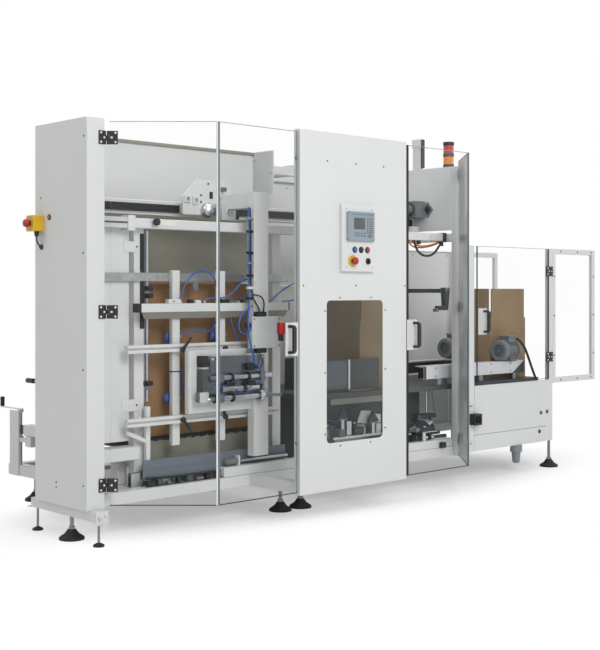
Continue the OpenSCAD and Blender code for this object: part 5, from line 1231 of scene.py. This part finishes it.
class ERECTOR_OT_case_line(bpy.types.Operator):
    """Dresses the opened cases, belts, motors and the outer end of the transfer"""

    bl_idname = "erector.case_line"
    bl_label = "Case line"

    def execute(self, context):
        size = context.scene.erector_sizes
        soften_node("opened_cases", "kraft_board", size.small_edge)
        made = Piece()
        for y in (102, 560):
            motor(made, 3268, y, 805, 136, 190)
        wall = reach("end_wall")[0].x
        # Square servo housing with a round grille, bolted to the end wall.
        servo = (325, 1718)
        boxes(made, ((2640, wall), (271, 379), (1664, 1772), 5, "machine_enamel"))
        made.add(boss(at(2640, *servo), LEFT, [(48, 0), (48, 3), (44, 5), (40, 5), (40, 1)], 36),
                 "dark_enamel")
        for ring in (12, 22, 32):
            made.add(turned(at(2640, *servo), LEFT, [(ring, 1), (ring + 3, 1), (ring + 3, 4),
                                                     (ring, 4), (ring, 1)], 28), "dark_enamel")
        made.add(rod(at(2494, *servo), at(2640, *servo), 60), "machine_enamel")
        made.place("drive_motors.worked", "frame", "grey_paint", ("drive_motors",))

        # Ends of the front belt unit, its screws and the seals under the bed.
        bits = Piece()
        bits.add(plate(91, ((3541, 733), (3541, 652), (3412, 652)), -2.5, 0.6), "dark_edge")
        boxes(bits, ((2512, 2530), (89, 92), (654, 732), 1, "dark_edge"))
        screws(bits, [(x, 92, z) for x in (2620, 2900, 3180, 3390) for z in (668, 718)], FRONT,
               9 * MM, "dark_screw")
        for x in (2700, 3060, 3420):
            boxes(bits, ((x, x + 36), (96, 130), (611, 651), 3, "drawn_steel"))
        bits.place("belt_unit_fittings", "frame", "black_plastic")

        # Under the bed at the right: stay, swing arm, deflector plate and cylinder.
        rig = Piece()
        rig.add(rod(at(2700, 236, 420), at(2700, 236, 580), 14), "anodised_aluminium")
        rig.add(rod(at(2560, 200, 412), at(2733, 200, 404), 40), "drawn_steel")
        rig.add(plate(150, ((2508, 342), (2660, 384), (2660, 368), (2508, 320)), 60, 1.5),
                "powder_coat")
        rig.add(rod(at(2500, 110, 290), at(2610, 110, 288), 30), "zinc_steel")
        rig.add(boss(at(2560, 110, 289), RIGHT, [(21, 0), (21, 18)], 24), "black_nylon")
        boxes(rig, ((2610, 2733), (96, 124), (278, 298), 2, "drawn_steel"),
              ((2440, 2502), (92, 130), (270, 308), 3, "dark_enamel"),
              ((2500, 2733), (150, 241), (296, 318), 2, "dark_enamel"),
              ((2600, 2640), (20, 60), (228, 262), 3, "black_nylon"))
        rig.add(plate(180, ((2660, 404), (2720, 300), (2733, 300), (2676, 404)), 10, 1),
                "dark_enamel")
        rig.add(plate(190, ((2700, 560), (2728, 430), (2733, 430), (2706, 560)), 4, 0.6),
                "anodised_aluminium")
        rig.place("under_bed_rig", "frame", "dark_paint")

        # Outer end of the top beam and rail: end block, locking knob, hoses, cable loop
        # and stop bracket.
        end = Piece()
        boxes(end, ((2700, 2733), (96, 154), (1506, 1564), 2, "dark_edge"),
              ((2580, 2640), (94, 100), (1516, 1554), 2, "powder_coat"),
              ((2640, 2733), (380, 399), (1606, 1618), 2, "galvanised_steel"),
              ((2640, 2700), (300, 330), (1566, 1610), 3, "powder_coat"))
        end.add(turned(at(2764, 0, 1530), FRONT, [(0, 0), (12, 0), (12, 4), (19, 6), (20, 12),
                                                  (17, 22), (0, 24)], 28), "black_nylon")
        for x, high, wide, depth, edge, finish in ((wall - 0.2, 56, 48, -4, 1, "zinc_steel"),
                                                   (wall - 4.2, 30, 26, -2, 0.6, "dark_edge")):
            diamond = ((0, -high), (wide, 0), (0, high), (-wide, 0))
            end.add(slab([at(x, 251 + dy, 1718 + dz) for dy, dz in diamond], (depth, 0, 0), edge),
                    finish)
        boxes(end, ((2660, 2690), (86, 99), (1480, 1508), 2, "black_nylon"),
              ((2470, 2492), (100, 120), (1486, 1510), 2, "black_nylon"))
        end.place("beam_end_fittings", "frame", "black_plastic")
        # Leads under the beam's end: points, finish and diameter in metres.
        for name, points, finish, wide in (
            ("orange_hose_a", [(2440, 125, 1508), (2460, 125, 1486), (2508, 126, 1474),
                               (2570, 126, 1480), (2640, 124, 1490), (2700, 122, 1508)],
             "orange_hose", 0.01),
            ("orange_hose_b", [(2420, 138, 1508), (2438, 138, 1478), (2500, 140, 1464),
                               (2580, 140, 1472), (2650, 138, 1484), (2716, 136, 1508)],
             "orange_hose", 0.01),
            ("beam_cable", [(2440, 110, 1508), (2456, 108, 1450), (2510, 106, 1418),
                            (2570, 106, 1414), (2630, 108, 1432), (2676, 110, 1482)], "black_cable",
             0.014),
        ):
            hose(name, points, wide, finish, slot="black_plastic")

        # Pusher arm before the outgoing case, carried from the rear jamb.
        arm = Piece()
        boxes(arm, ((2900, 3140), (852, 880), (1186, 1214), 3, "dark_enamel"),
              ((3106, 3140), (430, 880), (1186, 1214), 3, "dark_enamel"),
              ((3040, 3140), (416, 456), (1070, 1100), 5, "dark_enamel"),
              ((3016, 3046), (420, 452), (1060, 1082), 4, "drawn_steel"))
        arm.add(plate(418, ((3096, 1222), (3160, 1222), (3144, 1084), (3108, 1084)), 36, 6),
                "dark_enamel")
        arm.add(boss(at(3124, 418, 1204), FRONT, [(18, 0), (18, 4), (9, 5), (9, 2)], 24),
                "drawn_steel")
        arm.place("pusher_arm", "frame", "dark_paint")
        return {"FINISHED"}


class ERECTOR_OT_outfeed(bpy.types.Operator):
    """Fits the locks, isolator, filter bowl, conduit and screws of the outfeed"""

    bl_idname = "erector.outfeed"
    bl_label = "Outfeed"

    def execute(self, context):
        size = context.scene.erector_sizes
        soften_node("filter_bowl", "bowl_plastic", size.small_edge * 2)
        (_, iy0, iz0), (ix1, _, _) = reach("isolator_switch")
        made = Piece()
        made.add(softened("isolator_switch", size.small_edge * 2), "black_nylon")
        made.add(rod(at(ix1 - 20, iy0 + 10, iz0 + 34), at(ix1 + 26, iy0 + 4, iz0 + 34), 9),
                 "zinc_steel")
        made.place("isolator_switch.worked", "frame", "black_plastic", ("isolator_switch",))
        # Turn locks, grommet and bolt on the low front panel, and the line of its fold, drawn as a
        # grey strip of painted shade.
        y0 = reach("outfeed_panels")[0].y
        made = Piece()
        for x, z in ((3626, 377), (3696, 380)):
            made.add(boss(at(x, y0, z), FRONT, [(14, 0), (14, 3), (12, 5)]), "drawn_steel")
            made.add(turned(at(x, y0 - 5, z), FRONT, [(0, 0), (8, 0), (8, 2), (0, 2.4)]),
                     "black_nylon")
        made.add(boss(at(3610, y0, 251), FRONT, [(13, 0), (13, 3), (9, 6)]), "black_nylon")
        made.add(bolt(at(2873, y0, 238), FRONT, 15), "zinc_steel")
        made.add(rod(at(2836, y0 - 3, 468), at(2884, y0 - 5, 472), 6), "drawn_steel")
        boxes(made, ((2905, 3688), (y0 - 0.5, y0 + 1), (280, 284), 0.4, "sheet_edge"))
        made.place("outfeed_locks", "frame", "black_plastic")

        # Screws round the framed guards and hinge screws of the outfeed door.
        low, high = reach("guard_frames")
        rim = Piece()
        rows = [(x, low.y, z) for z in (low.z + 18, high.z - 18) for x in (3860, 4060, 4230)]
        sides = [(x, low.y, z) for x in (3782, 4262) for z in (760, 1030, 1300)]
        screws(rim, rows + sides, FRONT, 11 * MM, "dark_screw")
        hinges = (751, 1333)
        for z in hinges:
            screws(rim, [(x, 1, z + dz) for x, dz in ((3746, 20), (3746, -20), (3732, 0))], FRONT,
                   10 * MM, "white_acetal")
        rim.place("guard_screws", "frame", "bright_steel")
        trim = Piece()
        (px0, _, pz0), (px1, _, pz1) = reach("outfeed_door_pane")
        # Cut edges of the pane: sides and bottom dark as painted shade, the top in the lighter edge
        # tone.
        boxes(trim, ((px0, px0 + 5), (5, 13), (pz0, pz1), 0.6, "dark_edge"),
              ((px1 - 5, px1), (5, 13), (pz0, pz1), 0.6, "dark_edge"),
              ((px0, px1), (5.4, 12.6), (pz0, pz0 + 3), 0.5, "dark_edge"),
              ((px0, px1), (5.4, 12.6), (pz1 - 3, pz1), 0.5, "sheet_edge"))
        for z in hinges:
            screws(trim, [(x, 0, z + dz) for x, dz in ((3686, 20), (3686, -20), (3700, 0))], FRONT,
                   10 * MM, "white_acetal")
        trim.place("outfeed_door_trim", "outfeed_door", "clear_sheet")
        hose("motor_conduit", [(3414, 60, 880), (3438, 48, 866), (3474, 42, 830), (3518, 44, 764),
                               (3560, 46, 690), (3602, 40, 606)], size.conduit, "black_cable",
             slot="black_plastic")
        return {"FINISHED"}


class ERECTOR_OT_lamp(bpy.types.Operator):
    """Turns the stack light's tiers and caps the mast"""

    bl_idname = "erector.lamp"
    bl_label = "Stack light"

    def execute(self, context):
        made = Piece()
        # Tiers from the foot up, each over a share of the height.
        spot = at(2801, 137, 1900)
        r, h = 35, 245
        tiers = ((0.0, 0.10, "lamp_grey"), (0.10, 0.34, "blue_lens"), (0.34, 0.42, "lamp_grey"),
                 (0.42, 0.62, "amber_lens"), (0.62, 0.70, "lamp_grey"), (0.70, 0.91, "red_lens"),
                 (0.91, 1.0, "black_nylon"))
        for a, b, finish in tiers:
            low, high = a * h, b * h
            wide = r * 0.94 if "lens" in finish else r
            made.add(boss(spot + UP * low * MM, UP, [(wide - 1.5, 0), (wide, 1.5),
                                                     (wide, high - low - 1.5),
                                                     (wide - 1.5, high - low)], 40), finish)
        boxes(made, ((2737, 2836), (105, 169), (1894, 1900), 1.5, "lamp_grey"))
        made.place("stack_light.worked", "frame", "lamp_plastic", ("stack_light",))
        top = reach("frame_posts")[1].z
        cap = Piece()
        boxes(cap, ((2734, 2764), (310, 388), (top - 58, top - 1), 2, "satin_aluminium"),
              ((2735, 2763), (303, 312), (1990, top - 4), 1, "dark_edge"))
        cap.place("mast_cap", "frame", "alu_profile")
        return {"FINISHED"}


class ERECTOR_PT_panel(bpy.types.Panel):
    """Lists the steps that dress the machine"""

    bl_idname = "ERECTOR_PT_panel"
    bl_label = "Case erector"
    bl_space_type = "VIEW_3D"
    bl_region_type = "UI"
    bl_category = "Case erector"

    def draw(self, context):
        layout = self.layout
        for group in (context.scene.erector_sizes, context.scene.erector_colours):
            for name in group.__annotations__:
                layout.prop(group, name)
        for step in STEPS:
            layout.operator(step.bl_idname)


STEPS = (
    ERECTOR_OT_stage, ERECTOR_OT_finishes, ERECTOR_OT_framework, ERECTOR_OT_front_panel,
    ERECTOR_OT_controls, ERECTOR_OT_doors, ERECTOR_OT_feet, ERECTOR_OT_magazine, ERECTOR_OT_suction,
    ERECTOR_OT_transfer, ERECTOR_OT_case_line, ERECTOR_OT_outfeed, ERECTOR_OT_lamp,
)


def register():
    """Adds the settings, steps and panel to Blender."""
    for kind in (ErectorSizes, ErectorColours, *STEPS, ERECTOR_PT_panel):
        bpy.utils.register_class(kind)
    bpy.types.Scene.erector_sizes = PointerProperty(type=ErectorSizes)
    bpy.types.Scene.erector_colours = PointerProperty(type=ErectorColours)


def unregister():
    """Takes them out again."""
    del bpy.types.Scene.erector_sizes
    del bpy.types.Scene.erector_colours
    for kind in reversed((ErectorSizes, ErectorColours, *STEPS, ERECTOR_PT_panel)):
        bpy.utils.unregister_class(kind)


def main():
    """Dresses the machine step by step."""
    register()
    for step in STEPS:
        group, name = step.bl_idname.split(".")
        getattr(getattr(bpy.ops, group), name)()
    bpy.context.view_layer.update()


if __name__ == "__main__":
    main()
